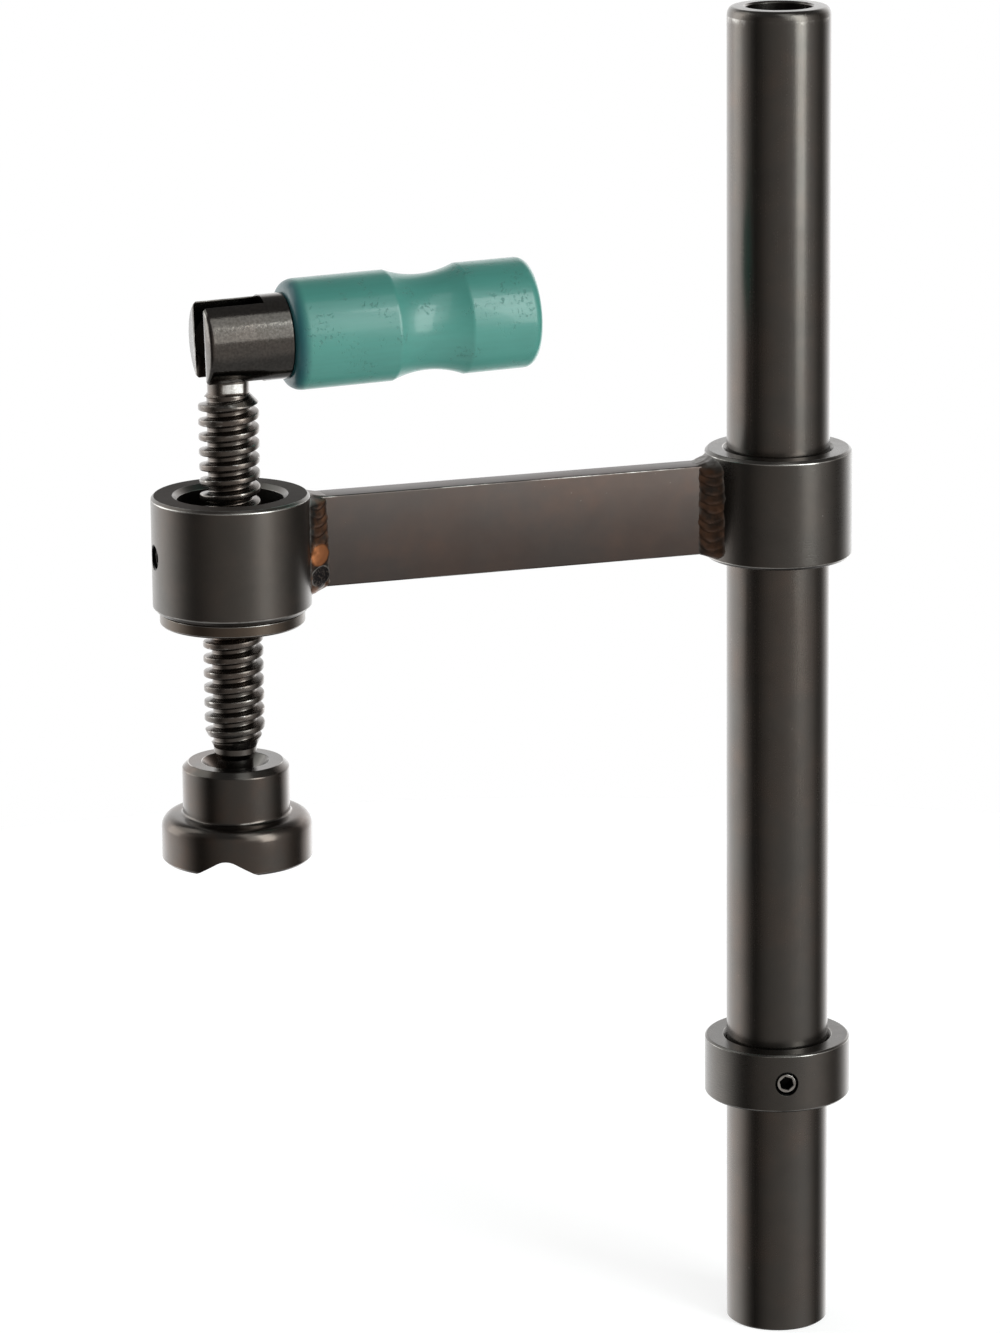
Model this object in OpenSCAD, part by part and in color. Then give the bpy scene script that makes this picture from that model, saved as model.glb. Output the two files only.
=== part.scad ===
// Vertical swing clamp for a welding table with 28 mm bores.
// The origin is on the post's axis at the stop collar's underside, which sits on the table.
// +Z runs up the post, and the arm reaches along -X to the clamping spindle.

/* [Post] */
// Outside diameter of the post, which is also the table's bore size
post_d = 28; // [24:0.5:32]
// Wall of the post tube
post_wall = 5; // [3:0.5:7]
// Post above the table
post_above = 303.5; // [287:0.5:420]
// Post below the table surface
post_below = 66; // [40:1:100]
// Radial clearance of the ground shank in the table's bore
shank_fit = 0.03; // [0.02:0.01:0.05]
// Distance from the ground shank's upper end to the stop collar
shank_gap = 0.5; // [0.3:0.1:1]
// Width of the relief groove over the ground shank, most of it inside the stop collar
relief_w = 2; // [1.6:0.1:3]
// Depth of the relief groove
relief_d = 0.4; // [0.3:0.1:0.8]
// Height of the rounded edge at the post's top
post_round_h = 2.6; // [1:0.2:4]
// Radial depth of the rounded edge at the post's top
post_round_r = 1.7; // [0.6:0.1:2.4]
// Small chamfer on the post's other edges
post_chamfer = 0.5; // [0.2:0.1:1]

/* [Stop collar] */
// Wall of the stop collar
stop_wall = 6; // [4.5:0.5:11]
// Height of the stop collar
stop_h = 16.5; // [12:0.5:25]
// Chamfer at both mouths of the stop collar's bore
stop_mouth = 1; // [0.4:0.1:1.6]
// Chamfer on the stop collar's outer edges
stop_edge = 0.5; // [0.2:0.1:1]
// Turn of the stop collar's screw from the front, towards the arm
stop_screw_turn = 13; // [-40:1:60]

/* [Set screws] */
// Thread size of both set screws
screw_d = 6; // [4:0.5:8]
// Depth of the stop collar's screw below the collar's surface
stop_screw_inset = 0.6; // [0.2:0.1:1]
// Depth of the bush's screw below the boss's surface
bush_screw_inset = 1; // [0.2:0.1:1.6]
// Hexagon socket, across its flats
socket_af = 3; // [2:0.1:3.6]
// Depth of the hexagon socket
socket_depth = 3; // [1.5:0.1:3.6]
// Countersink round each screw's hole
screw_sink = 0.4; // [0.1:0.1:0.8]

/* [Arm] */
// Distance from the post's axis to the spindle's axis
reach = 154; // [110:1:240]
// Height of the arm collar's underside over the table
arm_z = 153.2; // [140:0.1:170]
// Wall of the arm collar
collar_wall = 6; // [4.5:0.5:11]
// Height of the arm collar
collar_h = 30; // [28:0.5:45]
// Chamfer at both mouths of the arm collar's bore
collar_mouth = 1.1; // [0.4:0.1:1.6]
// Chamfer on the arm collar's outer edges and the boss's upper edge
arm_edge = 0.8; // [0.3:0.1:1.2]
// Height of the flat bar
bar_h = 24.5; // [20:0.5:26]
// Thickness of the flat bar
bar_t = 8; // [6:0.5:12]
// Leg of the weld beads along the bar's sides
weld_leg = 5; // [2.5:0.1:6]
// Height of the weld beads over the bar's edges, where the round is tall enough
weld_rise = 2.2; // [0.8:0.1:3]

/* [Boss and bush] */
// Wall of the spindle boss
boss_wall = 7; // [5.5:0.5:11]
// Height of the spindle boss
boss_h = 31; // [28:0.5:40]
// Drop of the boss's middle below the bar's middle
boss_drop = 1.4; // [0:0.1:2]
// Chamfer on the boss's lower edge
boss_edge = 1.2; // [0.5:0.1:1.6]
// Chamfer at both mouths of the boss's bore
boss_mouth = 1.3; // [0.4:0.1:1.8]
// Wall of the bush, from the thread's outside diameter
bush_wall = 6; // [4.5:0.5:9]
// Height of the bush's body
bush_h = 20.5; // [16:0.5:26]
// Width of the bush's flange, under the boss
flange_lip = 5.2; // [3:0.1:5.6]
// Thickness of the bush's flange
flange_h = 3.6; // [2:0.1:5]
// Chamfer on the flange's edges
flange_edge = 0.5; // [0.2:0.1:1]

/* [Spindle] */
// Outside diameter of the trapezoidal thread
thread_d = 16; // [14:0.5:18]
// Pitch of the single-start thread
thread_pitch = 4; // [3:0.5:5]
// Thread below the boss
thread_below = 37.5; // [24:0.5:60]
// Taper at the thread's lower end
thread_taper = 5; // [3:0.5:6]
// Thread above the boss
thread_above = 27; // [14:0.5:40]
// Height from the thread's top to the handle's pin
tongue_l = 14; // [13.7:0.1:18]
// Width of the tongue below the pin
tongue_w = 11; // [9:0.5:11]
// Thickness of the tongue
tongue_t = 9.8; // [6:0.1:10.4]
// Radius of the tongue's round head
tongue_r = 7.6; // [7:0.1:8.4]
// Length from the thread's lower end to the middle of the ball
tail_l = 15.5; // [14:0.5:20]
// Diameter of the neck over the ball
neck_d = 9.5; // [7:0.5:9.5]
// Diameter of the ball
ball_d = 12; // [10.6:0.1:13]
// Wire of the snap ring in the ball's groove
wire_d = 1.5; // [1.2:0.1:1.8]

/* [Pressure pad] */
// Diameter of the pad's flange
pad_d = 40; // [34:0.5:50]
// Height of the flange at its rim
rim_h = 12; // [9:0.5:14]
// Radius of the rim's upper edge
rim_round = 3.6; // [1:0.2:4]
// Rise of the flange from its rim to the hub
flange_rise = 0.6; // [0.2:0.1:2]
// Diameter of the pad's hub
hub_d = 28.5; // [24:0.5:32]
// Total height of the pad
pad_h = 26.5; // [24:0.5:34]
// Chamfer on the hub's upper edge
hub_edge = 1.6; // [0.6:0.1:2.4]
// Diameter of the cone that opens the socket
cone_d = 18; // [15:0.5:22]
// Height from the pad's underside to the middle of the socket
socket_z = 15; // [13.5:0.5:17]
// Depth of the groove across the underside
groove_h = 4.3; // [2:0.1:5]
// Radius at the bottom of the groove
groove_r = 3; // [1:0.5:5]
// Slope of the groove's sides
groove_slope = 30; // [20:1:45]
// Turn of the groove from the front
groove_turn = 0; // [-45:1:45]

/* [Handle] */
// Diameter of the fork
fork_d = 22.8; // [19:0.1:23]
// Length of the fork outside the grip
fork_l = 22.9; // [21:0.1:32]
// Fork beyond the pin
fork_nose = 7.5; // [7:0.1:8.4]
// Depth of the fork's slot from its end
slot_l = 16.5; // [16.1:0.1:20]
// Chamfer on the fork's end
fork_edge = 0.8; // [0.4:0.1:1.6]
// Diameter of the hinge pin
pin_d = 5; // [4:0.5:7]
// Diameter of the tang inside the grip
tang_d = 10; // [7:0.5:12]
// Wood between the tang's end and the grip's far end
tang_cover = 11.5; // [6:0.5:24]
// Diameter of the wooden grip
grip_d = 29.5; // [26:0.5:36]
// Length of the wooden grip
grip_l = 67.5; // [64:0.5:110]
// Diameter of the grip's waist
waist_d = 25.5; // [21:0.5:29]
// Middle of the waist from the grip's near end
waist_x = 38; // [32:1:44]
// Length of the waist
waist_l = 20; // [14:1:28]
// Length of the rounding at the grip's near end
near_round = 3.8; // [2:0.2:7]
// Radius of the grip's near face, inside its rounding
near_face_r = 12; // [11.7:0.1:12.8]
// Radius at the grip's far end
far_round = 3; // [1:0.5:5]
// Rise of the handle over the arm's line, in degrees
handle_lift = 1.5; // [0:0.1:6]

/* [Fits] */
// Radial clearance of a part that slides or turns
run_fit = 0.05; // [0.02:0.01:0.1]
// Radial clearance of a part that is pressed or screwed in place
seat_fit = 0.01; // [0.005:0.005:0.05]
// Clearance between the flanks of the spindle and the bush
flank_fit = 0.12; // [0.08:0.02:0.2]
// Clearance at the thread's crests and roots
crest_fit = 0.25; // [0.2:0.05:0.4]
// Side clearance of the tongue in the fork's slot
slot_fit = 0.15; // [0.05:0.05:0.4]
// Clearance round the snap ring in the pad
ring_fit = 0.25; // [0.15:0.05:0.4]
// Clearance of the pad over the ring, for tilting
tilt_fit = 0.75; // [0.6:0.05:1.2]

/* [Hidden] */

$fn = 96;
// How far a cutter runs past the metal, and how far joined solids run into each other
past = 1;
joined = 0.5;
// Depth of the snap ring's wire circle inside the ball's surface
wire_sink = 0.4;
steel = [0.20, 0.19, 0.18];
bright = [0.42, 0.41, 0.39];
weld = [0.36, 0.29, 0.22];
teal = [0.07, 0.34, 0.36];

// Diameters worked out from the walls
stop_d = post_d + 2 * stop_wall;
collar_d = post_d + 2 * collar_wall;
bush_d = thread_d + 2 * bush_wall;
boss_d = bush_d + 2 * boss_wall;
flange_d = bush_d + 2 * flange_lip;

// Heights worked out from the driving sizes
bar_z = arm_z + (collar_h - bar_h) / 2;
boss_z = arm_z + (collar_h - boss_h) / 2 - boss_drop;
thread_z0 = boss_z - thread_below;
thread_z1 = boss_z + boss_h + thread_above;
pin_z = thread_z1 + tongue_l;
ball_z = thread_z0 - tail_l;
pad_z = ball_z - socket_z;
wire_r = ball_d / 2 - wire_sink;
tang_l = grip_l - tang_cover;
screw_top = screw_d / 2 + screw_sink;

// Trapezoidal thread: flanks at 15 degrees, half a pitch wide at the pitch diameter
flank_slope = tan(15);
pitch_r = thread_d / 2 - thread_pitch / 4;
root_r = thread_d / 2 - thread_pitch / 2 - crest_fit;
turn_steps = 24;

// Points along an arc, from angle a0 to angle a1
function arc(cx, cy, r, a0, a1, steps = 8) =
    [for (i = [0:steps]) let (a = a0 + (a1 - a0) * i / steps) [cx + r * cos(a), cy + r * sin(a)]];

// Ring with a chamfered bore and chamfered outer edges
module collar(d, bore, h, mouth, edge, low_edge) {
    rotate_extrude()
        polygon([
            [bore / 2, mouth], [bore / 2 + mouth, 0], [d / 2 - low_edge, 0], [d / 2, low_edge],
            [d / 2, h - edge], [d / 2 - edge, h], [bore / 2 + mouth, h], [bore / 2, h - mouth]
        ]);
}

// Cutter for a radial screw hole with a countersink at the outside radius
module screw_hole(out_r) {
    rotate([0, 90, 0]) {
        cylinder(d = screw_d + 2 * seat_fit, h = out_r + past);
        translate([0, 0, out_r - 2 * screw_sink])
            cylinder(r1 = screw_d / 2 - screw_sink, r2 = screw_top + past + screw_sink, h = past + 3 * screw_sink);
    }
}

// Set screw along +X: its flat point at x = 0 and its hexagon socket at the other end
module set_screw(l) {
    chamfer = 0.6;
    tip = 1;
    point = screw_d / 2 - tip;
    rotate([0, 90, 0])
        difference() {
            rotate_extrude()
                polygon([
                    [0, 0], [point, 0], [screw_d / 2, tip], [screw_d / 2, l - chamfer],
                    [screw_d / 2 - chamfer, l], [0, l]
                ]);
            translate([0, 0, l - socket_depth])
                rotate(30)
                    cylinder(r = socket_af / sqrt(3), h = socket_depth + past, $fn = 6);
        }
}

// Thread solid from z0 up to z1 with a free spiral end beyond each: one strip wound
// round the axis, with a root, a flank, a crest and a flank in every pitch
module thread_solid(z0, z1, crest, root, widen) {
    first = floor(z0 / thread_pitch) - 1;
    last = ceil(z1 / thread_pitch) + 1;
    count = (last - first) * turn_steps;
    crest_half = thread_pitch / 4 + widen - (crest - pitch_r) * flank_slope;
    root_half = thread_pitch / 4 + widen + (pitch_r - root) * flank_slope;
    profile = [[root, -root_half], [crest, -crest_half], [crest, crest_half], [root, root_half]];
    strip = [for (i = [0:count]) let (a = 360 * i / turn_steps, z = (first + i / turn_steps) * thread_pitch)
        for (p = profile) [p[0] * cos(a), p[0] * sin(a), z + p[1]]];
    ends = [[0, 0, first * thread_pitch - root_half - past], [0, 0, last * thread_pitch + root_half + past]];
    low = 4 * (count + 1);
    high = low + 1;
    walls = [for (i = [0:count - 1]) for (k = [0:2]) each
        [[4 * i + k, 4 * i + 4 + k, 4 * i + 5 + k], [4 * i + k, 4 * i + 5 + k, 4 * i + k + 1]]];
    roots = [for (i = [0:count - turn_steps - 1]) each
        [[4 * i + 3, 4 * i + 7, 4 * (i + turn_steps + 1)], [4 * i + 3, 4 * (i + turn_steps + 1), 4 * (i + turn_steps)]]];
    low_fan = [for (i = [0:turn_steps - 1]) [low, 4 * (i + 1), 4 * i]];
    high_fan = [for (i = [count - turn_steps:count - 1]) [high, 4 * i + 3, 4 * i + 7]];
    low_step = [[low, 0, 1, 2, 3, 4 * turn_steps]];
    high_step = [[high, 4 * count + 3, 4 * count + 2, 4 * count + 1, 4 * count, 4 * (count - turn_steps) + 3]];
    faces = concat(walls, roots, low_fan, high_fan, low_step, high_step);
    polyhedron(points = concat(strip, ends), faces = [for (f = faces) [for (k = [len(f) - 1:-1:0]) f[k]]], convexity = 10);
}

module post_tube() {
    out = post_d / 2;
    shank = out - shank_fit;
    in = out - post_wall;
    top = post_above;
    color(steel)
        rotate_extrude()
            polygon(concat(
                [[in, post_chamfer - post_below], [in + post_chamfer, -post_below],
                 [shank - post_chamfer, -post_below], [shank, post_chamfer - post_below],
                 [shank, -shank_gap], [out - relief_d, -shank_gap],
                 [out - relief_d, relief_w - shank_gap], [out, relief_w - shank_gap]],
                [for (i = [0:8]) let (a = 90 * i / 8)
                    [out - post_round_r * (1 - cos(a)), top - post_round_h * (1 - sin(a))]],
                [[in + post_chamfer, top], [in, top - post_chamfer]]
            ));
}

module stop_collar() {
    color(steel)
        difference() {
            collar(stop_d, post_d + 2 * run_fit, stop_h, stop_mouth, stop_edge, stop_edge);
            translate([0, 0, stop_h / 2])
                rotate(270 - stop_screw_turn)
                    screw_hole(stop_d / 2);
        }
}

module stop_collar_screw() {
    color(bright)
        translate([0, 0, stop_h / 2])
            rotate(270 - stop_screw_turn)
                translate([post_d / 2 + seat_fit, 0, 0])
                    set_screw(stop_wall - stop_screw_inset);
}

module arm_collar() {
    color(steel)
        translate([0, 0, arm_z])
            collar(collar_d, post_d + 2 * run_fit, collar_h, collar_mouth, arm_edge, arm_edge);
}

module arm_bar() {
    color(steel)
        difference() {
            translate([-reach, -bar_t / 2, bar_z])
                cube([reach, bar_t, bar_h]);
            translate([0, 0, bar_z - past])
                cylinder(d = collar_d, h = bar_h + 2 * past);
            translate([-reach, 0, bar_z - past])
                cylinder(d = boss_d, h = bar_h + 2 * past);
        }
}

module spindle_boss() {
    color(steel)
        translate([-reach, 0, boss_z])
            difference() {
                collar(boss_d, bush_d + 2 * run_fit, boss_h, boss_mouth, arm_edge, boss_edge);
                translate([0, 0, boss_h / 2])
                    rotate(180)
                        screw_hole(boss_d / 2);
            }
}

// Height of a bead over the bar's edge, kept below the edge of the round
function rise_to(edge) = max(weld_rise / 12, min(weld_rise, edge));

// One weld bead where a bar along +X meets a round of radius r: it fills the corner at
// the bar's side at -Y and wraps round the bar's edges to the middle of its thickness
module weld_bead(r, low_rise, high_rise) {
    half = bar_t / 2;
    low = sqrt(r * r - half * half);
    toe = asin(half / r) + weld_leg / r * 180 / PI;
    // The bead's face dips in the middle, and over the bar's edge it is about half as wide
    dip = weld_leg / 6;
    lip = weld_leg / 2;
    flat = weld_leg / 8;
    inner = joined - half;
    side = [[low + weld_leg, -half], [r * cos(toe), -r * sin(toe)]];
    mid = (side[0] + side[1]) / 2 + dip * [-sin(45), cos(45)];
    tall = bar_h + low_rise + high_rise;
    difference() {
        union() {
            translate([0, 0, bar_z - low_rise])
                linear_extrude(height = tall)
                    polygon([side[0], mid, side[1], [low - past, -half], [low - past, inner], [low + weld_leg, inner]]);
            for (edge = [[bar_z, 1, low_rise], [bar_z + bar_h, 0, high_rise]])
                translate([0, 0, edge[0]])
                    mirror([0, 0, edge[1]])
                        rotate([90, 0, 0])
                            linear_extrude(height = half + joined)
                                polygon([
                                    [low - past, -joined], [low - past, edge[2]], [r + flat, edge[2]],
                                    [r + lip, 0], [r + lip, -joined]
                                ]);
        }
        translate([0, 0, bar_z - low_rise - past])
            cylinder(r = r, h = tall + 2 * past);
        translate([0, -half, bar_z])
            cube([r + 2 * weld_leg, bar_t, bar_h]);
    }
}

module collar_weld(flip) {
    color(weld)
        mirror([1, 0, 0])
            mirror([0, flip, 0])
                weld_bead(
                    collar_d / 2,
                    rise_to(bar_z - arm_z - arm_edge),
                    rise_to(arm_z + collar_h - arm_edge - bar_z - bar_h)
                );
}

module boss_weld(flip) {
    color(weld)
        translate([-reach, 0, 0])
            mirror([0, flip, 0])
                weld_bead(
                    boss_d / 2,
                    rise_to(bar_z - boss_z - boss_edge),
                    rise_to(boss_z + boss_h - arm_edge - bar_z - bar_h)
                );
}

module collar_weld_front() {
    collar_weld(0);
}

module collar_weld_back() {
    collar_weld(1);
}

module boss_weld_front() {
    boss_weld(0);
}

module boss_weld_back() {
    boss_weld(1);
}

// Flanged bush with the internal thread, put in from below
module threaded_bush() {
    z0 = boss_z - flange_h;
    z1 = boss_z + bush_h;
    body_edge = 0.8;
    mouth_r = thread_d / 2 + crest_fit + body_edge / 2;
    lead = mouth_r - root_r;
    color(bright)
        translate([-reach, 0, 0])
            difference() {
                rotate_extrude()
                    polygon([
                        [mouth_r, z0], [flange_d / 2 - flange_edge, z0], [flange_d / 2, z0 + flange_edge],
                        [flange_d / 2, boss_z - flange_edge], [flange_d / 2 - flange_edge, boss_z],
                        [bush_d / 2, boss_z], [bush_d / 2, z1 - body_edge], [bush_d / 2 - body_edge, z1], [mouth_r, z1],
                        [mouth_r - lead, z1 - lead], [0, z1 - lead], [0, z0 + lead], [mouth_r - lead, z0 + lead]
                    ]);
                thread_solid(z0, z1, thread_d / 2 + crest_fit, root_r + crest_fit, flank_fit);
            }
}

module bush_set_screw() {
    color(bright)
        translate([-reach, 0, boss_z + boss_h / 2])
            rotate(180)
                translate([bush_d / 2 + seat_fit, 0, 0])
                    set_screw(boss_wall - bush_screw_inset);
}

// Spindle: thread, tongue for the handle's fork, and ball end for the pad
module spindle() {
    lead = thread_d / 2 - root_r;
    // The thread's ends run out a little inside its root and a little outside its crest
    inside = root_r - 0.2;
    outside = thread_d / 2 + 0.3;
    core = root_r - 0.4;
    neck_step = 1.5;
    color(steel)
        translate([-reach, 0, 0])
            difference() {
                union() {
                    intersection() {
                        thread_solid(thread_z0, thread_z1, thread_d / 2, root_r, 0);
                        rotate_extrude()
                            polygon([
                                [0, thread_z0], [inside, thread_z0], [outside, thread_z0 + thread_taper],
                                [outside, thread_z1 - lead - joined], [inside, thread_z1], [0, thread_z1]
                            ]);
                    }
                    intersection() {
                        translate([0, 0, thread_z1 - past])
                            cylinder(d = tongue_w, h = tongue_l + past);
                        translate([-thread_d, -tongue_t / 2, thread_z1 - past])
                            cube([2 * thread_d, tongue_t, tongue_l + past]);
                    }
                    translate([0, tongue_t / 2, pin_z])
                        rotate([90, 0, 0])
                            cylinder(r = tongue_r, h = tongue_t);
                    rotate_extrude()
                        polygon([
                            [0, ball_z], [neck_d / 2, ball_z], [neck_d / 2, thread_z0 - 2 * neck_step],
                            [core, thread_z0 - neck_step], [core, thread_z0 + past], [0, thread_z0 + past]
                        ]);
                    translate([0, 0, ball_z])
                        sphere(d = ball_d);
                }
                translate([0, tongue_t, pin_z])
                    rotate([90, 0, 0])
                        cylinder(d = pin_d + 2 * run_fit, h = 2 * tongue_t);
                translate([0, 0, ball_z])
                    rotate_extrude()
                        translate([wire_r, 0])
                            circle(r = wire_d / 2 + run_fit, $fn = 48);
            }
}

// Wire ring in the ball's groove, open over a few degrees so that it snaps in
module snap_ring() {
    gap = 26;
    color(bright)
        translate([-reach, 0, ball_z])
            rotate(90 + gap / 2)
                rotate_extrude(angle = 360 - gap)
                    translate([wire_r, 0])
                        circle(d = wire_d, $fn = 48);
}

module pressure_pad() {
    lip_r = ball_d / 2 + 2 * run_fit;
    cavity_r = wire_r + wire_d / 2 + ring_fit;
    lip_z = socket_z + wire_d / 3 + tilt_fit;
    floor_z = socket_z - ball_d / 2 - run_fit;
    floor_edge = 2;
    foot_edge = 0.6;
    hub_foot = 0.8;
    cone_h = 3.6;
    // Half width of the groove's cutter, which starts under the pad
    foot = groove_r * sin(groove_slope)
        + (groove_h + past - groove_r * (1 - cos(groove_slope))) / tan(groove_slope);
    color(steel)
        translate([-reach, 0, pad_z])
            difference() {
                rotate_extrude()
                    polygon(concat(
                        [[0, 0], [pad_d / 2 - foot_edge, 0], [pad_d / 2, foot_edge]],
                        arc(pad_d / 2 - rim_round, rim_h - rim_round, rim_round, 0, 62),
                        [[hub_d / 2 + hub_foot, rim_h + flange_rise], [hub_d / 2, rim_h + flange_rise + hub_foot],
                         [hub_d / 2, pad_h - hub_edge], [hub_d / 2 - hub_edge, pad_h],
                         [cone_d / 2, pad_h], [lip_r, pad_h - cone_h], [lip_r, lip_z], [cavity_r, lip_z],
                         [cavity_r, floor_z + floor_edge], [cavity_r - floor_edge, floor_z], [0, floor_z]]
                    ));
                rotate(groove_turn)
                    translate([0, pad_d / 2 + past, 0])
                        rotate([90, 0, 0])
                            linear_extrude(height = pad_d + 2 * past)
                                polygon(concat(
                                    [[-foot, -past]],
                                    arc(0, groove_h - groove_r, groove_r, 90 + groove_slope, 90 - groove_slope),
                                    [[foot, -past]]
                                ));
            }
}

// Places the handle's parts, modelled along +X from the pin
module on_pin() {
    translate([-reach, 0, pin_z])
        rotate([0, -handle_lift, 0])
            children();
}

module handle_fork() {
    r = fork_d / 2;
    end = fork_l - fork_nose;
    tang_edge = 1;
    color(steel)
        on_pin()
            difference() {
                rotate([0, 90, 0])
                    rotate_extrude()
                        polygon([
                            [0, -fork_nose], [r - fork_edge, -fork_nose], [r, fork_edge - fork_nose],
                            [r, end], [tang_d / 2, end], [tang_d / 2, end + tang_l - tang_edge],
                            [tang_d / 2 - tang_edge, end + tang_l], [0, end + tang_l]
                        ]);
                translate([-fork_nose - past, -tongue_t / 2 - slot_fit, -fork_d])
                    cube([slot_l + past, tongue_t + 2 * slot_fit, 2 * fork_d]);
                translate([0, fork_d, 0])
                    rotate([90, 0, 0])
                        cylinder(d = pin_d + 2 * seat_fit, h = 2 * fork_d);
            }
}

// Hinge pin, ground off with the fork's round
module fork_pin() {
    half = sqrt(pow(fork_d / 2, 2) - pow(pin_d / 2, 2));
    chamfer = 0.4;
    color(weld)
        translate([-reach, 0, pin_z])
            rotate([90, 0, 0])
                rotate_extrude()
                    polygon([
                        [0, -half], [pin_d / 2 - chamfer, -half], [pin_d / 2, chamfer - half],
                        [pin_d / 2, half - chamfer], [pin_d / 2 - chamfer, half], [0, half]
                    ]);
}

module handle_grip() {
    r = grip_d / 2;
    dip = (grip_d - waist_d) / 2;
    bore = tang_d / 2 + seat_fit;
    deep = tang_l + past;
    // The waist is a round cove that meets the grip's cylinder at a shallow crease
    cove_r = (waist_l * waist_l / 4 + dip * dip) / (2 * dip);
    cove_a = asin(waist_l / 2 / cove_r);
    waist = [for (i = [0:12]) let (a = cove_a * (i / 6 - 1))
        [waist_d / 2 + cove_r * (1 - cos(a)), waist_x + cove_r * sin(a)]];
    near = [for (i = [0:6]) let (a = 90 * i / 6)
        [r - (r - near_face_r) * (1 - sin(a)), near_round * (1 - cos(a))]];
    far = arc(r - far_round, grip_l - far_round, far_round, 0, 90, 6);
    color(teal)
        on_pin()
            translate([fork_l - fork_nose, 0, 0])
                rotate([0, 90, 0])
                    rotate_extrude()
                        polygon(concat(
                            [[bore, 0]], near, waist, far, [[0, grip_l], [0, deep], [bore, deep]]
                        ));
}

post_tube();
stop_collar();
stop_collar_screw();
arm_collar();
arm_bar();
spindle_boss();
collar_weld_front();
collar_weld_back();
boss_weld_front();
boss_weld_back();
threaded_bush();
bush_set_screw();
spindle();
snap_ring();
pressure_pad();
handle_fork();
fork_pin();
handle_grip();
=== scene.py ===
"""Vertical swing clamp: finishes, turned pieces, thread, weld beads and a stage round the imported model."""

import math

import bmesh
import bpy
from mathutils import Matrix, Vector


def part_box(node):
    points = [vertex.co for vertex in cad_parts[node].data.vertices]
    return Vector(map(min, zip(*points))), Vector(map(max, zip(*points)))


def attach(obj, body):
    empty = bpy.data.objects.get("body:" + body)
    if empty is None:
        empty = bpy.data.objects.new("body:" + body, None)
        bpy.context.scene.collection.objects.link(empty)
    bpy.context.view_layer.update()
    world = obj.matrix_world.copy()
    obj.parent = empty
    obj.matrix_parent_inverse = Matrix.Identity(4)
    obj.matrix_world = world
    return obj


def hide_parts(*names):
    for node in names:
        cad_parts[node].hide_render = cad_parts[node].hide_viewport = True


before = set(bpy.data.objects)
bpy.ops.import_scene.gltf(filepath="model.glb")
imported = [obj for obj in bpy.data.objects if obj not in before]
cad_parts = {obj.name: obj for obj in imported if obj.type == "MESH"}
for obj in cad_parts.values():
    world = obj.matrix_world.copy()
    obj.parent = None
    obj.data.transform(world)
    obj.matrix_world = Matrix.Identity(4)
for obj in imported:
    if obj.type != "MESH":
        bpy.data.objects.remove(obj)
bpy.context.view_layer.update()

bl_info = {
    "name": "Vertical swing clamp",
    "version": (1, 0, 0),
    "blender": (4, 5, 0),
    "location": "View3D > Sidebar > Clamp",
    "description": "Builds a swing clamp for a bored welding table, with its finishes and a plain stage",
    "category": "Object",
}

MM = 0.001

POST_LOW, POST_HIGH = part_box("post_tube")
STOP_LOW, STOP_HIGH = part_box("stop_collar")
ARM_LOW, ARM_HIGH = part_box("arm_collar")
BAR_LOW, BAR_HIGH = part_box("arm_bar")
BOSS_LOW, BOSS_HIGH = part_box("spindle_boss")
BUSH_LOW, BUSH_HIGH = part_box("threaded_bush")
SPINDLE_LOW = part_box("spindle")[0]
PAD_LOW, PAD_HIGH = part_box("pressure_pad")
PIN_LOW, PIN_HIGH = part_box("fork_pin")
BOSS_RADIUS = (BOSS_HIGH.x - BOSS_LOW.x) / 2
SPINDLE_X = (BOSS_LOW.x + BOSS_HIGH.x) / 2
PIN_Z = (PIN_LOW.z + PIN_HIGH.z) / 2
CLEARANCE = 0.05 * MM
SCREW_CLEARANCE = 0.01 * MM
HANDLE_LIFT = math.radians(1.5)
PAD_TURN = math.radians(-24.0)
STOP_SCREW_TURN = math.radians(270 - 13)
ALONG_X = Matrix.Rotation(math.radians(90), 4, "Y")
ALONG_Y = Matrix.Rotation(math.radians(90), 4, "X")
AT_SPINDLE = Matrix.Translation((SPINDLE_X, 0, 0))
AT_PIN = Matrix.Translation((SPINDLE_X, 0, PIN_Z))
HANDLE_PLACE = AT_PIN @ Matrix.Rotation(-HANDLE_LIFT, 4, "Y")
CAMERA_TURN = math.radians(-18.0)
CAMERA_PITCH = 0.2242
CAMERA_ROLL = -0.0093
CAMERA_PLACE = Vector((-530.1, -1387.0, 509.1)) * MM
CAMERA_LENS = 151.24
CAMERA_BEARING = math.atan2(CAMERA_PLACE.y, CAMERA_PLACE.x)


# Settings that a user would change


def length(name, description, millimetres):
    """A length property."""
    return bpy.props.FloatProperty(
        name=name, description=description, default=millimetres * MM, min=0.0, unit="LENGTH", precision=5
    )


def colour(name, description, default):
    """A colour property."""
    return bpy.props.FloatVectorProperty(
        name=name, description=description, default=default, size=3, min=0.0, max=1.0, subtype="COLOR"
    )


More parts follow.
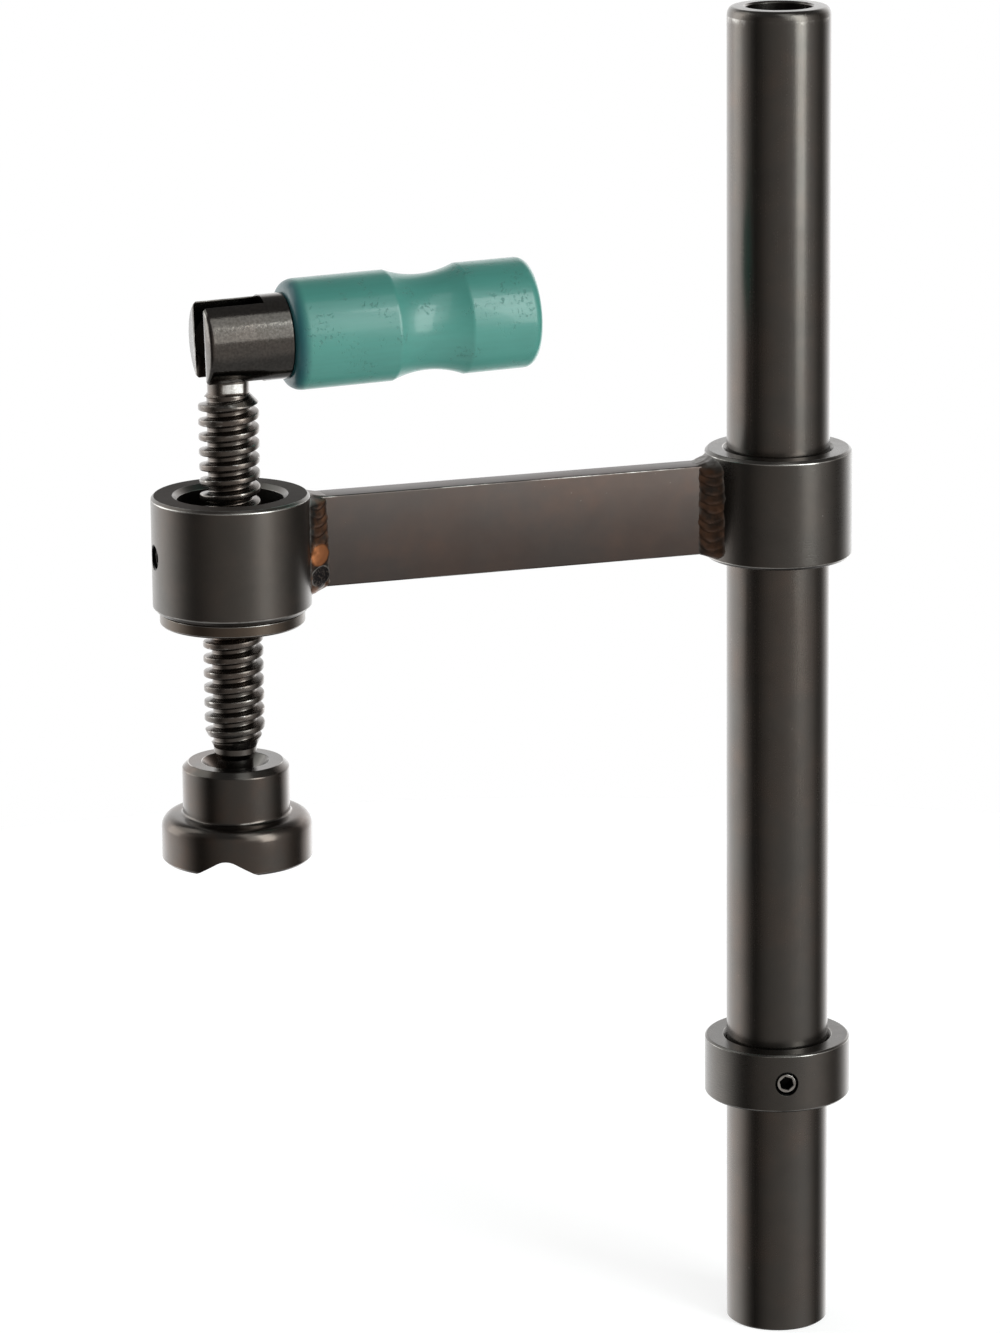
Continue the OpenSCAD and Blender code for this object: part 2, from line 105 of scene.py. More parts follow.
class ClampSizes(bpy.types.PropertyGroup):
    """Sizes of the details that the looks add."""

    post_wall: length("Post wall", "Wall of the post tube", 5)
    post_round_height: length("Post top rounding height", "Height of the rounded edge at the post's top", 2.6)
    post_round_depth: length("Post top rounding depth", "Radial depth of that edge", 1.7)
    screw_radius: length("Screw radius", "Radius of the set screws", 3)
    screw_key: length("Screw key", "Width across the flats of the set screws' sockets", 3)
    bush_radius: length("Bush radius", "Radius of the bush's body in the boss", 14)
    thread_diameter: length("Thread diameter", "Outside diameter of the spindle's thread", 16)
    thread_pitch: length("Thread pitch", "Pitch of the spindle's thread", 4)
    thread_above: length("Thread above the boss", "Length of thread over the boss", 27)
    thread_below: length("Thread below the boss", "Length of thread under the boss", 37.5)
    thread_taper: length("Thread taper", "Length over which the thread runs out at its lower end", 5)
    ball_radius: length("Ball radius", "Radius of the spindle's ball", 6)
    neck_radius: length("Neck radius", "Radius of the spindle's neck over the ball", 4.75)
    shank_radius: length("Shank radius", "Radius of the spindle's shank under the fork", 5.5)
    tongue_radius: length("Tongue radius", "Radius of the spindle's tongue round the pin", 7.6)
    tongue_half: length("Half tongue", "Half the thickness of the spindle's tongue", 4.9)
    weld_leg: length("Weld leg", "Width of a weld bead on the bar and on the round", 5)
    ripple_spacing: length("Ripple spacing", "Distance between a bead's ripples", 2.5)
    ripple_height: length("Ripple height", "Height of a bead's ripples", 0.42)
    rim_height: length("Rim height", "Height of the pad's rim", 12)
    hub_radius: length("Hub radius", "Radius of the pad's hub", 14.25)
    groove_radius: length("Groove radius", "Radius of the bottom of the pad's groove", 5)
    groove_depth: length("Groove depth", "Depth of the pad's groove", 4)
    fork_radius: length("Fork radius", "Radius of the handle's fork", 11.4)
    fork_nose: length("Fork nose", "Fork beyond the pin", 7.5)
    fork_end: length("Fork end", "Distance from the pin to the grip", 15.4)
    slot_depth: length("Slot depth", "Depth of the fork's slot from its end", 16.5)
    pin_radius: length("Pin radius", "Radius of the hinge pin", 2.5)
    grip_radius: length("Grip radius", "Radius of the wooden grip", 14.75)
    grip_length: length("Grip length", "Length of the wooden grip", 67.5)
    grip_face: length("Grip face", "Radius of the flat at the grip's near end", 12)
    waist_radius: length("Waist radius", "Radius of the grip's waist", 12.75)
    waist_place: length("Waist place", "Distance from the grip's near end to its waist", 38)
    waist_half: length("Half waist", "Half the length of the grip's waist", 10)


class ClampFinishes(bpy.types.PropertyGroup):
    """Colours of the clamp's finishes."""

    oxide: colour("Black oxide", "Colour of the blackened steel", (0.101, 0.095, 0.088))
    oxide_brown: colour("Brown oxide", "Warm tint in the blackened steel", (0.119, 0.092, 0.077))
    worn: colour("Worn steel", "Bright steel on rubbed edges and nicks", (0.46, 0.445, 0.425))
    turned: colour("Turned steel", "Bare steel of the bush and the wire ring", (0.30, 0.285, 0.265))
    bronze: colour("Weld bronze", "Heat tint of the weld beads", (0.180, 0.092, 0.054))
    copper: colour("Weld copper", "Copper-coloured drop on the front bead", (0.70, 0.28, 0.12))
    lacquer: colour("Lacquer", "Teal lacquer of the wooden grip", (0.051, 0.219, 0.184))
    # Painted shade: this colour darkens the grip's near end, beside the fork.
    lacquer_painted_shade: colour("Lacquer painted shade", "Painted shade on the lacquer at the grip's near end", (0.004, 0.075, 0.090))
    floor: colour("Floor", "Colour of the floor", (0.80, 0.80, 0.79))


def sizes():
    """The scene's size settings."""
    return bpy.context.scene.clamp_sizes


def finishes():
    """The scene's colour settings."""
    return bpy.context.scene.clamp_finishes


# Node trees


class Wire:
    """An output socket, on which Python arithmetic adds Math nodes."""

    def __init__(self, socket):
        self.socket = socket
        self.tree = socket.id_data

    def math(self, operation, other):
        """A Math node that takes this wire first."""
        return put(self.tree, "ShaderNodeMath", {"operation": operation}, {0: self, 1: other})

    def swapped(self, operation, other):
        """A Math node that takes this wire second."""
        return put(self.tree, "ShaderNodeMath", {"operation": operation}, {0: other, 1: self})

    def __add__(self, other):
        return self.math("ADD", other)

    def __radd__(self, other):
        return self.swapped("ADD", other)

    def __sub__(self, other):
        return self.math("SUBTRACT", other)

    def __rsub__(self, other):
        return self.swapped("SUBTRACT", other)

    def __mul__(self, other):
        return self.math("MULTIPLY", other)

    def __rmul__(self, other):
        return self.swapped("MULTIPLY", other)

    def __truediv__(self, other):
        return self.math("DIVIDE", other)

    def __pow__(self, other):
        return self.math("POWER", other)

    def changed(self, operation):
        """The wire through a Math node that takes one value."""
        return put(self.tree, "ShaderNodeMath", {"operation": operation}, {0: self})

    def part(self, axis):
        """One component of a vector."""
        return put(self.tree, "ShaderNodeSeparateXYZ", {}, {0: self}, "XYZ".index(axis))

    def steep(self, low, high):
        """A smooth step from 0 at low to 1 at high."""
        if low > high:
            return 1 - self.steep(high, low)
        values = {"Value": self, "From Min": low, "From Max": high}
        return put(self.tree, "ShaderNodeMapRange", {"interpolation_type": "SMOOTHSTEP"}, values)


def put(tree, kind, settings, values, out=0):
    """Adds a node, first its settings, then its sockets' values or links, and gives one output."""
    node = tree.nodes.new(kind)
    for name, value in settings.items():
        if name == "stops":
            set_stops(node.color_ramp, value)
        elif name == "interpolation":
            node.color_ramp.interpolation = value
        else:
            setattr(node, name, value)
    for key, value in values.items():
        if isinstance(value, Wire):
            tree.links.new(value.socket, node.inputs[key])
        else:
            node.inputs[key].default_value = value
    return Wire(node.outputs[out])


def set_stops(ramp, stops):
    """Gives a colour ramp its stops, each a position and a colour."""
    while len(ramp.elements) < len(stops):
        ramp.elements.new(0.5)
    for element, (position, shade) in zip(ramp.elements, sorted(stops)):
        element.position = position
        element.color = rgba(shade)


def rgba(value):
    """A colour with its alpha, or a wire as it is."""
    return value if isinstance(value, Wire) else (*value, 1.0)


def shaded(shade, by):
    """A colour times a number."""
    return [value * by for value in shade]


def mixed(factor, first, second):
    """A mix of two colours."""
    values = {0: factor, 6: rgba(first), 7: rgba(second)}
    return put(factor.tree, "ShaderNodeMix", {"data_type": "RGBA"}, values, 2)


def scaled(vector, by):
    """A vector times a vector, part by part."""
    return put(vector.tree, "ShaderNodeVectorMath", {"operation": "MULTIPLY"}, {0: vector, 1: by})


def noise(vector, scale, detail=2.0, roughness=0.5):
    """Noise between 0 and 1 at a scale in cycles per metre."""
    values = {"Vector": vector, "Scale": scale, "Detail": detail, "Roughness": roughness}
    return put(vector.tree, "ShaderNodeTexNoise", {}, values)


def point_value(tree, name):
    """A value that the mesh stores on its points."""
    return put(tree, "ShaderNodeAttribute", {"attribute_name": name}, {}, "Fac")


def xyz(tree, x, y, z):
    """A vector of three values."""
    return put(tree, "ShaderNodeCombineXYZ", {}, {"X": x, "Y": y, "Z": z})


def ended(tree, kind, surface):
    """Links a surface to a new output node."""
    tree.links.new(surface.socket, tree.nodes.new(kind).inputs[0])


def emptied(block):
    """The empty node tree of a material or a world."""
    block.use_nodes = True
    block.node_tree.nodes.clear()
    return block.node_tree


# Finishes


def made_once(build):
    """Gives the material that already has a name, or builds it."""

    def get(name, *settings, **named_settings):
        return bpy.data.materials.get(name) or build(name, *settings, **named_settings)

    return get


def new_material(name):
    """An empty material with its shader, and the object's coordinates."""
    material = bpy.data.materials.new(name)
    tree = emptied(material)
    shader = put(tree, "ShaderNodeBsdfPrincipled", {}, {})
    ended(tree, "ShaderNodeOutputMaterial", shader)
    return material, tree, shader.socket.node, put(tree, "ShaderNodeTexCoord", {}, {}, "Object")


def finish(shader, base, roughness, metallic, height, depth):
    """Links what changes over the surface to the shader."""
    bump = put(base.tree, "ShaderNodeBump", {}, {"Strength": 1.0, "Distance": depth, "Height": height})
    for name, wire in (("Base Color", base), ("Roughness", roughness), ("Normal", bump)):
        base.tree.links.new(wire.socket, shader.inputs[name])
    shader.inputs["Metallic"].default_value = metallic


HEAT_BROWN = (0.150, 0.066, 0.042)
POLISHED = (0.74, 0.73, 0.71)
# Painted shade: hollows, screw holes and sockets are painted near black through negative wear values.
PAINTED_SHADE_BLACK = (0.004, 0.004, 0.004)
RUBBED_BRIGHT = 3.0
HOLLOW_PAINTED_SHADE = -2.0
HOLE_PAINTED_SHADE = -2.5


@made_once
def blackened(name, lines=(900, 900, 900), tint=0.35, tone=1.0, rough=0.30, edges=1.0, nicks=1.0, rise=1.0,
              flecks=0.0, matt_shaded_top=None, mottle=0.0, hue=(1.0, 1.0, 1.0)):
    """Satin blackened steel: broad brown tint, drawn or turned lines, fine nicks and rubbed edges.

    Lines are the scales of the drawn lines along X, Y and Z. Tint is the share of brown, tone the
    brightness, edges and nicks how bright they show, and rise the depth of the bump. Flecks are bright
    spots on the rubbed edges. A top face at a given height is made rougher and painted darker, as
    painted shade. Mottle is how much the shade varies from spot to spot. The points' wear is 0 to 1 on
    edges, over 2 on a polished flat and under 0 in a hollow, where the steel is painted black as
    painted shade.
    """
    look = finishes()
    material, tree, shader, place = new_material(name)
    broad = noise(place, 38.0, 4.0, 0.55)
    patches = noise(place, 120.0, 3.0, 0.6)
    grain = noise(place, 2600.0, 2.0, 0.6)
    drawn = noise(scaled(place, lines), 1.0, 3.0, 0.65)
    broken = noise(place, 420.0, 4.0, 0.7)
    warm = broad.steep(0.35, 0.7) * tint + patches.steep(0.45, 0.75) * tint * 0.6
    cool, brown = [
        [part * tone * share for part, share in zip(shade, hue)] for shade in (look.oxide, look.oxide_brown)
    ]
    base = mixed(warm, cool, brown)
    shade = 0.86 + 0.28 * patches
    if mottle:
        shade = shade + (noise(place, 1500.0, 3.0, 0.7).steep(0.38, 0.62) - 0.5) * mottle
    darkened = {"data_type": "RGBA", "blend_type": "MULTIPLY"}
    base = put(tree, "ShaderNodeMix", darkened, {0: 1.0, 6: base, 7: shade}, 2)
    rubbed_and_shaded = point_value(tree, "wear")
    spread = 0.55 + 0.8 * broad.steep(0.35, 0.65)
    worn = (rubbed_and_shaded * edges * spread * (0.30 + 1.3 * broken)).steep(0.38, 0.95)
    hits = noise(place, 700.0, 3.0, 0.7).steep(0.71, 0.76) * noise(place, 60.0, 2.0).steep(0.50, 0.62)
    scratch = drawn.steep(0.70, 0.80) * noise(place, 90.0, 2.0).steep(0.5, 0.62)
    bright = worn + hits * 0.55 * nicks + scratch * 0.10 * nicks
    if flecks:
        spots = noise(scaled(place, (420, 420, 1300)), 1.0, 3.0, 0.7).steep(0.54, 0.66)
        bright = bright + spots * rubbed_and_shaded * flecks
    bright = bright.math("MINIMUM", 1.0)
    base = mixed(bright * 0.8, base, look.worn)
    base = mixed(point_value(tree, "heat") * (0.4 + 0.8 * patches), base, HEAT_BROWN)
    polish = rubbed_and_shaded.steep(2.0, 2.8)
    base = mixed(polish * (0.35 + 0.65 * broken.steep(0.42, 0.56)), base, POLISHED)
    # Painted shade: points with negative values, in holes and sockets, are painted near black.
    base = mixed(rubbed_and_shaded.steep(-0.2, -0.8), base, PAINTED_SHADE_BLACK)
    roughness = rough + 0.10 * (broad - 0.5) + 0.10 * (drawn - 0.5) + 0.05 * grain
    roughness = roughness - 0.08 * bright + 0.3 * polish
    if matt_shaded_top is not None:
        # Painted shade: the top face is painted darker, and is also made rougher.
        face = place.part("Z").steep(matt_shaded_top - 0.1 * MM, matt_shaded_top)
        base = mixed(face * 0.85, base, shaded(look.oxide_brown, 0.3))
        roughness = roughness + 0.42 * face
    height = drawn * 0.55 + grain * 0.25 + patches * 0.6 - hits * 1.2
    finish(shader, base, roughness, 1.0, height, 0.012 * MM * rise)
    return material


TURNED_LINES = (260, 260, 3200)
STEELS = {
    "post": {"lines": (2600, 2600, 35), "tint": 0.45, "tone": 0.95, "rough": 0.23},
    "collars": {"lines": TURNED_LINES, "tint": 0.2, "tone": 0.87, "rough": 0.265},
    "boss": {"lines": TURNED_LINES, "tint": 0.35, "tone": 0.84, "matt_shaded_top": BOSS_HIGH.z},
    # The boss's top face is painted darker as painted shade.
    "bush": {"lines": TURNED_LINES, "tint": 0.6, "tone": 0.80, "hue": (1.10, 1.0, 0.90)},
    "screws": {"lines": (1500, 1500, 1500), "tint": 0.1, "tone": 1.5, "rough": 0.2, "edges": 1.7},
    "bar": {
        "lines": (30, 1400, 1400), "tint": 0.6, "tone": 0.66, "rough": 0.36, "edges": 0.9, "nicks": 0.5,
        "hue": (1.08, 0.985, 0.985),
    },
    "spindle": {
        "tint": 0.7, "tone": 1.05, "rough": 0.24, "edges": 0.5, "nicks": 0.8, "rise": 1.6, "flecks": 1.0,
    },
    # The tongue's steel is painted near black: painted shade in the fork's slot.
    "tongue": {"tint": 0.3, "tone": 0.10, "rough": 0.6, "edges": 0.0, "nicks": 0.0},
    "pad": {"lines": (300, 300, 2400), "tint": 1.0, "tone": 0.80, "rough": 0.20, "nicks": 0.3, "rise": 0.3},
    "fork": {
        "lines": (700, 700, 700), "tint": 0.3, "tone": 0.88, "rough": 0.11, "nicks": 1.4, "rise": 3.2,
        "mottle": 0.35,
    },
}


def black_steel(name):
    """The blackened steel of a group of pieces."""
    return blackened("Black steel " + name, **STEELS[name])


@made_once
def turned_steel(name, light, rough):
    """Turned bare steel of a colour, darkened with oil."""
    material, tree, shader, place = new_material(name)
    rings = noise(scaled(place, (120, 120, 4200)), 1.0, 2.0)
    stain = noise(place, 160.0, 4.0, 0.6)
    base = mixed(stain.steep(0.35, 0.7) * 0.55, light, shaded(light, 0.5))
    roughness = rough + 0.16 * (rings - 0.5) + 0.10 * stain
    finish(shader, base, roughness, 1.0, rings, 0.01 * MM)
    return material


@made_once
def weld_metal(name):
    """Heat-tinted weld metal, darker by the collar, with the front bead's copper-coloured drop."""
    look = finishes()
    material, tree, shader, place = new_material(name)
    broad = noise(place, 170.0, 3.0, 0.6)
    fine = noise(place, 1500.0, 3.0, 0.6)
    ridge, rim, top, drop, pool = [point_value(tree, key) for key in ("ridge", "wear", "top", "drop", "pool")]
    crust = mixed(broad.steep(0.45, 0.6), look.oxide, shaded(look.worn, 0.6))
    slag = mixed(fine.steep(0.5, 0.62), (0.040, 0.038, 0.040), (0.16, 0.14, 0.13))
    base = mixed(broad.steep(0.38, 0.66), look.bronze, shaded(look.oxide, 0.5))
    layers = [
        # The first two layers paint shade in the ripples' valleys and at the bead's toes, and a painted
        # highlight on the ripples' crests.
        (ridge.steep(0.30, 0.0) * 0.7, (0.022, 0.013, 0.010)),
        (ridge.steep(0.60, 0.95) * (0.3 + 0.6 * fine), (0.36, 0.24, 0.19)),
        (rim * broad.steep(0.35, 0.6) * 0.6, look.worn),
        (place.part("X").steep(-0.10, -0.06) * 0.55, (0.045, 0.031, 0.024)),
        (top * 0.8, crust),
        (pool.steep(0.02, 0.12) * broad.steep(0.35, 0.55), shaded(look.worn, 0.7)),
        (pool.steep(0.16, 0.32), slag),
        (drop.steep(0.10, 0.30), shaded(look.copper, 0.55)),
        (drop.steep(0.25, 0.45), look.copper),
    ]
    for share, shade in layers:
        base = mixed(share, base, shade)
    roughness = 0.34 + 0.2 * (broad - 0.5) + 0.1 * fine - 0.08 * pool.steep(0.16, 0.32)
    finish(shader, base, roughness, 1.0, fine + broad * 2.0, 0.03 * MM)
    return material


@made_once
def lacquer(name):
    """Teal gloss lacquer over turned wood, with painted shade in deep teal at the grip's near end."""
    look = finishes()
    material, tree, shader, place = new_material(name)
    near = sizes().fork_end
    seat = {"Vector": place, "Location": HANDLE_PLACE.translation, "Rotation": (0.0, -HANDLE_LIFT, 0.0)}
    place = put(tree, "ShaderNodeMapping", {"vector_type": "TEXTURE"}, seat)
    grain = noise(scaled(place, (60, 900, 900)), 1.0, 4.0, 0.6)
    pores = noise(place, 1100.0, 2.0, 0.6).steep(0.56, 0.64) * noise(place, 130.0, 2.0).steep(0.50, 0.62)
    broad = noise(place, 45.0, 3.0)
    uneven = noise(scaled(place, (90, 220, 220)), 1.0, 2.0, 0.5)
    base = mixed(grain.steep(0.3, 0.75) * 0.30, look.lacquer, shaded(look.lacquer, 0.78))
    base = mixed(broad.steep(0.4, 0.7) * 0.25, base, shaded(look.lacquer, 1.18))
    base = mixed(pores * 0.4, base, shaded(look.lacquer, 0.45))
    # Painted shade: the grip's near end by the fork is painted deep teal.
    thick = (place.part("X") + 1.2 * MM * (broad - 0.5)).steep(near + 4.2 * MM, near + 0.8 * MM)
    base = mixed(thick * 0.95, base, look.lacquer_painted_shade)
    roughness = 0.36 + 0.10 * (grain - 0.5) + 0.05 * pores + 0.2 * thick
    height = grain * 0.6 - pores * 2.5 + broad + uneven * 4.0
    finish(shader, base, roughness, 0.0, height, 0.02 * MM)
    tree.links.new((0.27 - 0.20 * pores).socket, shader.inputs["Coat Weight"])
    shader.inputs["Coat Roughness"].default_value = 0.07
    return material


# Profiles and Geometry Nodes


def arc(x, y, across, up, start, turn, steps):
    """Points on an arc round (x, y) with two radii, from a start angle through a turn in degrees."""
    points = []
    for step in range(steps + 1):
        angle = math.radians(start + turn * step / steps)
        points.append((x + across * math.cos(angle), y + up * math.sin(angle)))
    return points


def bare(points):
    """Corners without rounding or wear at some points."""
    return [(x, z, 0.0, 0.0) for x, z in points]


def rounded(corners, steps=5):
    """Profile points with rounded corners, each with how rubbed it is.

    A corner is (radius, height, rounding, wear). A rounding gets an arc, and a point close by on
    each side that keeps the flats flat.
    """
    points = []
    for place, (x, z, rounding, wear) in enumerate(corners):
        if not rounding:
            points.append((x, z, wear))
            continue
        here = Vector((x, z))
        before = Vector(corners[place - 1][:2])
        after = Vector(corners[(place + 1) % len(corners)][:2])
        back = (before - here).normalized()
        on = (after - here).normalized()
        half = back.angle(on) / 2
        reach = rounding / math.tan(half)
        centre = here + (back + on).normalized() * (rounding / math.sin(half))
        start = here + back * reach
        end = here + on * reach
        first = math.atan2(start.y - centre.y, start.x - centre.x)
        last = math.atan2(end.y - centre.y, end.x - centre.x)
        turn = (last - first + math.pi) % (2 * math.pi) - math.pi
        near = min(rounding * 0.8, (before - start).length * 0.4)
        far = min(rounding * 0.8, (after - end).length * 0.4)
        points.append((*(start + back * near), 0.0))
        bow = arc(*centre, rounding, rounding, math.degrees(first), math.degrees(turn), steps)
        for step, (x, z) in enumerate(bow):
            points.append((x, z, wear * math.sin(math.pi * (step + 0.5) / (steps + 1)) ** 0.5))
        points.append((*(end + on * far), 0.0))
    return points


def geometry_tree(name, whole, lengths):
    """A Geometry Nodes tree, and its named inputs as wires."""
    tree = bpy.data.node_groups.new(name, "GeometryNodeTree")
    tree.interface.new_socket(name="Geometry", in_out="OUTPUT", socket_type="NodeSocketGeometry")
    kinds = {"Geometry": "Geometry"} | dict.fromkeys(whole, "Int") | dict.fromkeys(lengths, "Float")
    kinds["Material"] = "Material"
    for label, kind in kinds.items():
        tree.interface.new_socket(name=label, in_out="INPUT", socket_type="NodeSocket" + kind)
    start = tree.nodes.new("NodeGroupInput")
    return tree, {socket.name: Wire(socket) for socket in start.outputs if socket.name}


def sampled(line, index, name=None):
    """The place of the line's point with that index, or the value that it has under a name."""
    if name:
        kind = {"data_type": "FLOAT"}
        value = put(line.tree, "GeometryNodeInputNamedAttribute", kind, {"Name": name})
    else:
        kind = {"data_type": "FLOAT_VECTOR"}
        value = put(line.tree, "GeometryNodeInputPosition", {}, {})
    return put(line.tree, "GeometryNodeSampleIndex", kind, {0: line, "Value": value, "Index": index})


def grid(tree, columns, rows):
    """A grid, with each point's column and row."""
    sheet = put(tree, "GeometryNodeMeshGrid", {}, {"Vertices X": columns, "Vertices Y": rows})
    index = put(tree, "GeometryNodeInputIndex", {}, {})
    column = (index / rows + 0.0001).changed("FLOOR")
    return sheet, column, index - column * rows


def closed(sheet, place, stored, material):
    """Ends a tree: moves the grid's points, stores their values, merges, realizes and sets the material."""
    tree = sheet.tree
    made = put(tree, "GeometryNodeSetPosition", {}, {0: sheet, "Position": place})
    for name, value in stored.items():
        kind = {"data_type": "FLOAT", "domain": "POINT"}
        made = put(tree, "GeometryNodeStoreNamedAttribute", kind, {0: made, "Name": name, "Value": value})
    made = put(tree, "GeometryNodeMergeByDistance", {}, {0: made, "Distance": 0.002 * MM})
    made = put(tree, "GeometryNodeRealizeInstances", {}, {0: made})
    made = put(tree, "GeometryNodeSetMaterial", {}, {0: made, "Material": material})
    ended(tree, "NodeGroupOutput", made)
    return tree


def turning_tree():
    """The tree that turns a profile round Z, and feeds it along Z by a pitch for a thread."""
    if "Turned profile" in bpy.data.node_groups:
        return bpy.data.node_groups["Turned profile"]
    lengths = ["Pitch", "Low end", "High end", "Low taper", "High taper", "Core radius", "Full radius"]
    tree, get = geometry_tree("Turned profile", ["Steps", "Steps per turn"], lengths)
    line = get["Geometry"]
    count = put(tree, "GeometryNodeAttributeDomainSize", {"component": "MESH"}, {0: line})
    sheet, column, row = grid(tree, get["Steps"] + 1, count)
    point = sampled(line, row)
    turn = column / get["Steps per turn"]
    high = point.part("Z") + turn * get["Pitch"]
    high = high.math("MAXIMUM", get["Low end"]).math("MINIMUM", get["High end"])
    rise = get["Full radius"] - get["Core radius"]
    low_cap = get["Core radius"] + rise * (high - get["Low end"]) / get["Low taper"]
    high_cap = get["Core radius"] + rise * (get["High end"] - high) / get["High taper"]
    radius = point.part("X").math("MINIMUM", low_cap).math("MINIMUM", high_cap)
    angle = turn * 2.0 * math.pi
    place = xyz(tree, radius * angle.changed("COSINE"), radius * angle.changed("SINE"), high)
    return closed(sheet, place, {"wear": sampled(line, row, "wear")}, get["Material"])


def line_mesh(name, points, stored):
    """A line of points as a mesh, with the values stored on them."""
    mesh = bpy.data.meshes.new(name)
    mesh.from_pydata(points, [(i, i + 1) for i in range(len(points) - 1)], [])
    for label, values in stored.items():
        mesh.attributes.new(label, "FLOAT", "POINT").data.foreach_set("value", values)
    return mesh


def generated(name, mesh, tree, inputs):
    """The plain mesh that a Geometry Nodes tree makes from a line."""
    source = bpy.data.objects.new(name, mesh)
    bpy.context.scene.collection.objects.link(source)
    modifier = source.modifiers.new(name, "NODES")
    modifier.node_group = tree
    for item in tree.interface.items_tree:
        if item.in_out == "INPUT" and item.name in inputs:
            modifier[item.identifier] = inputs[item.name]
    made = evaluated(source)
    bpy.data.objects.remove(source)
    bpy.data.meshes.remove(mesh)
    made.name = name
    if not made.polygons:
        raise RuntimeError(name + " came out empty")
    return made


def evaluated(piece):
    """The plain mesh of a piece with its modifiers applied."""
    view = bpy.context.evaluated_depsgraph_get()
    return bpy.data.meshes.new_from_object(piece.evaluated_get(view), depsgraph=view)


def added(name, mesh, material):
    """An object at the origin for a finished mesh."""
    piece = bpy.data.objects.new(name, mesh)
    bpy.context.scene.collection.objects.link(piece)
    mesh.materials.clear()
    mesh.materials.append(material)
    return piece


def tidied(mesh, sharp=38.0, outward=True):
    """Merges doubles, turns the faces outwards and keeps hard edges hard."""
    work = bmesh.new()
    work.from_mesh(mesh)
    bmesh.ops.remove_doubles(work, verts=work.verts, dist=0.001 * MM)
    bmesh.ops.dissolve_degenerate(work, edges=work.edges, dist=0.0005 * MM)
    if outward:
        bmesh.ops.recalc_face_normals(work, faces=work.faces)
    for face in work.faces:
        face.smooth = True
    work.to_mesh(mesh)
    work.free()
    mesh.set_sharp_from_angle(angle=math.radians(sharp))
    return mesh


def turned(name, corners, material, place=Matrix(), steps=128, bend=5):
    """A piece turned from a profile of radius and height round Z, and then put in its place."""
    line = rounded(corners, bend)
    if line[0][0] > 0:
        line.append(line[0])
    mesh = line_mesh(name, [(x, 0, z) for x, z, wear in line], {"wear": [wear for x, z, wear in line]})
    far = 10.0
    inputs = {
        "Steps": steps, "Steps per turn": steps, "Pitch": 0.0, "Low end": -far, "High end": far,
        "Low taper": MM, "High taper": MM, "Core radius": far, "Full radius": far + 1, "Material": material,
    }
    made = tidied(generated(name, mesh, turning_tree(), inputs))
    made.transform(place)
    return added(name, made, material)


def cut(piece, cutter, sharp=38.0):
    """Cuts a solid out of a piece, and removes it."""
    material = piece.data.materials[0]
    modifier = piece.modifiers.new("Cut", "BOOLEAN")
    modifier.operation = "DIFFERENCE"
    modifier.solver = "EXACT"
    modifier.object = cutter
    made = evaluated(piece)
    piece.modifiers.clear()
    piece.data = made
    bpy.data.objects.remove(cutter)
    made.materials.clear()
    made.materials.append(material)
    for face in made.polygons:
        face.material_index = 0
    tidied(made, sharp, False)


def lofted(name, sections, material):
    """A closed piece skinned over sections with the same number of points."""
    work = bmesh.new()
    rows = [[work.verts.new(point) for point in section] for section in sections]
    count = len(rows[0])
    for low, high in zip(rows, rows[1:]):
        for place in range(count):
            on = (place + 1) % count
            work.faces.new((low[place], low[on], high[on], high[place]))
    work.faces.new(rows[0])
    work.faces.new(rows[-1])
    mesh = bpy.data.meshes.new(name)
    work.to_mesh(mesh)
    work.free()
    return added(name, tidied(mesh), material)


def stored_by(piece, rule, label="wear"):
    """Stores on each point the value that a rule gives for its place, or keeps its own where that is None."""
    mesh = piece.data
    layer = mesh.attributes.get(label) or mesh.attributes.new(label, "FLOAT", "POINT")
    values = []
    for vertex, point in zip(mesh.vertices, layer.data):
        value = rule(vertex.co)
        values.append(point.value if value is None else value)
    layer.data.foreach_set("value", values)


def placed(piece, body, slot, *nodes):
    """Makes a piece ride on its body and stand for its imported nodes."""
    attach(piece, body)
    if nodes:
        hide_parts(*nodes)


# Pieces


def ring_corners(inner, outer, low, high, mouth, edge, low_edge):
    """The profile of a ring with chamfered bore mouths and broken outer edges."""
    soft = 0.28 * MM
    return [
        (inner, low + mouth, 0.15 * MM, 0.4),
        (inner + mouth, low, soft, 0.8),
        (outer - low_edge, low, low_edge * 0.5, 0.7),
        (outer, low + low_edge, low_edge * 0.5, 1.0),
        (outer, high - edge, edge * 0.55, 1.0),
        (outer - edge, high, edge * 0.55, 0.7),
        (inner + mouth, high, soft, 0.9),
        (inner, high - mouth, 0.2 * MM, 0.8),
    ]


def aimed(at, way):
    """The matrix that takes the Z axis to a direction through a point."""
    return Matrix.Translation(at) @ Vector((0, 0, 1)).rotation_difference(way).to_matrix().to_4x4()


def from_axis(place, at, way):
    """How far a place lies along an axis through a point, and how far off the axis."""
    along = (place - at).dot(way)
    return along, (place - at - way * along).length


def round_bar(radius, low, high, soft, wear):
    """The profile of a plain round bar with rounded edges."""
    return [(0.0, low, 0, 0), (radius, low, soft, wear), (radius, high, soft, wear), (0.0, high, 0, 0)]


def screw_hole(piece, at, way, radius):
    """Cuts a radial screw hole, painted black inside as painted shade, with a countersink at the surface."""
    hole = sizes().screw_radius + SCREW_CLEARANCE
    sink = 0.5 * MM
    foot = radius - 9 * MM
    rim = hole + 2 * sink
    over = radius + sink
    outline = [(0.0, foot), (hole, foot), (hole, radius - sink), (rim, over), (0.0, over)]
    cutter = turned(piece.name + "_hole", bare(outline), piece.data.materials[0], aimed(at, way), 48)
    cut(piece, cutter)

    def wear(place):
        along, off = from_axis(place, at, way)
        if along < 0 or off > rim:
            return None
        # Painted shade: the hole's wall is painted black, fading out up the countersink.
        return HOLE_PAINTED_SHADE if off < hole + 0.02 * MM else 0.0

    stored_by(piece, wear)


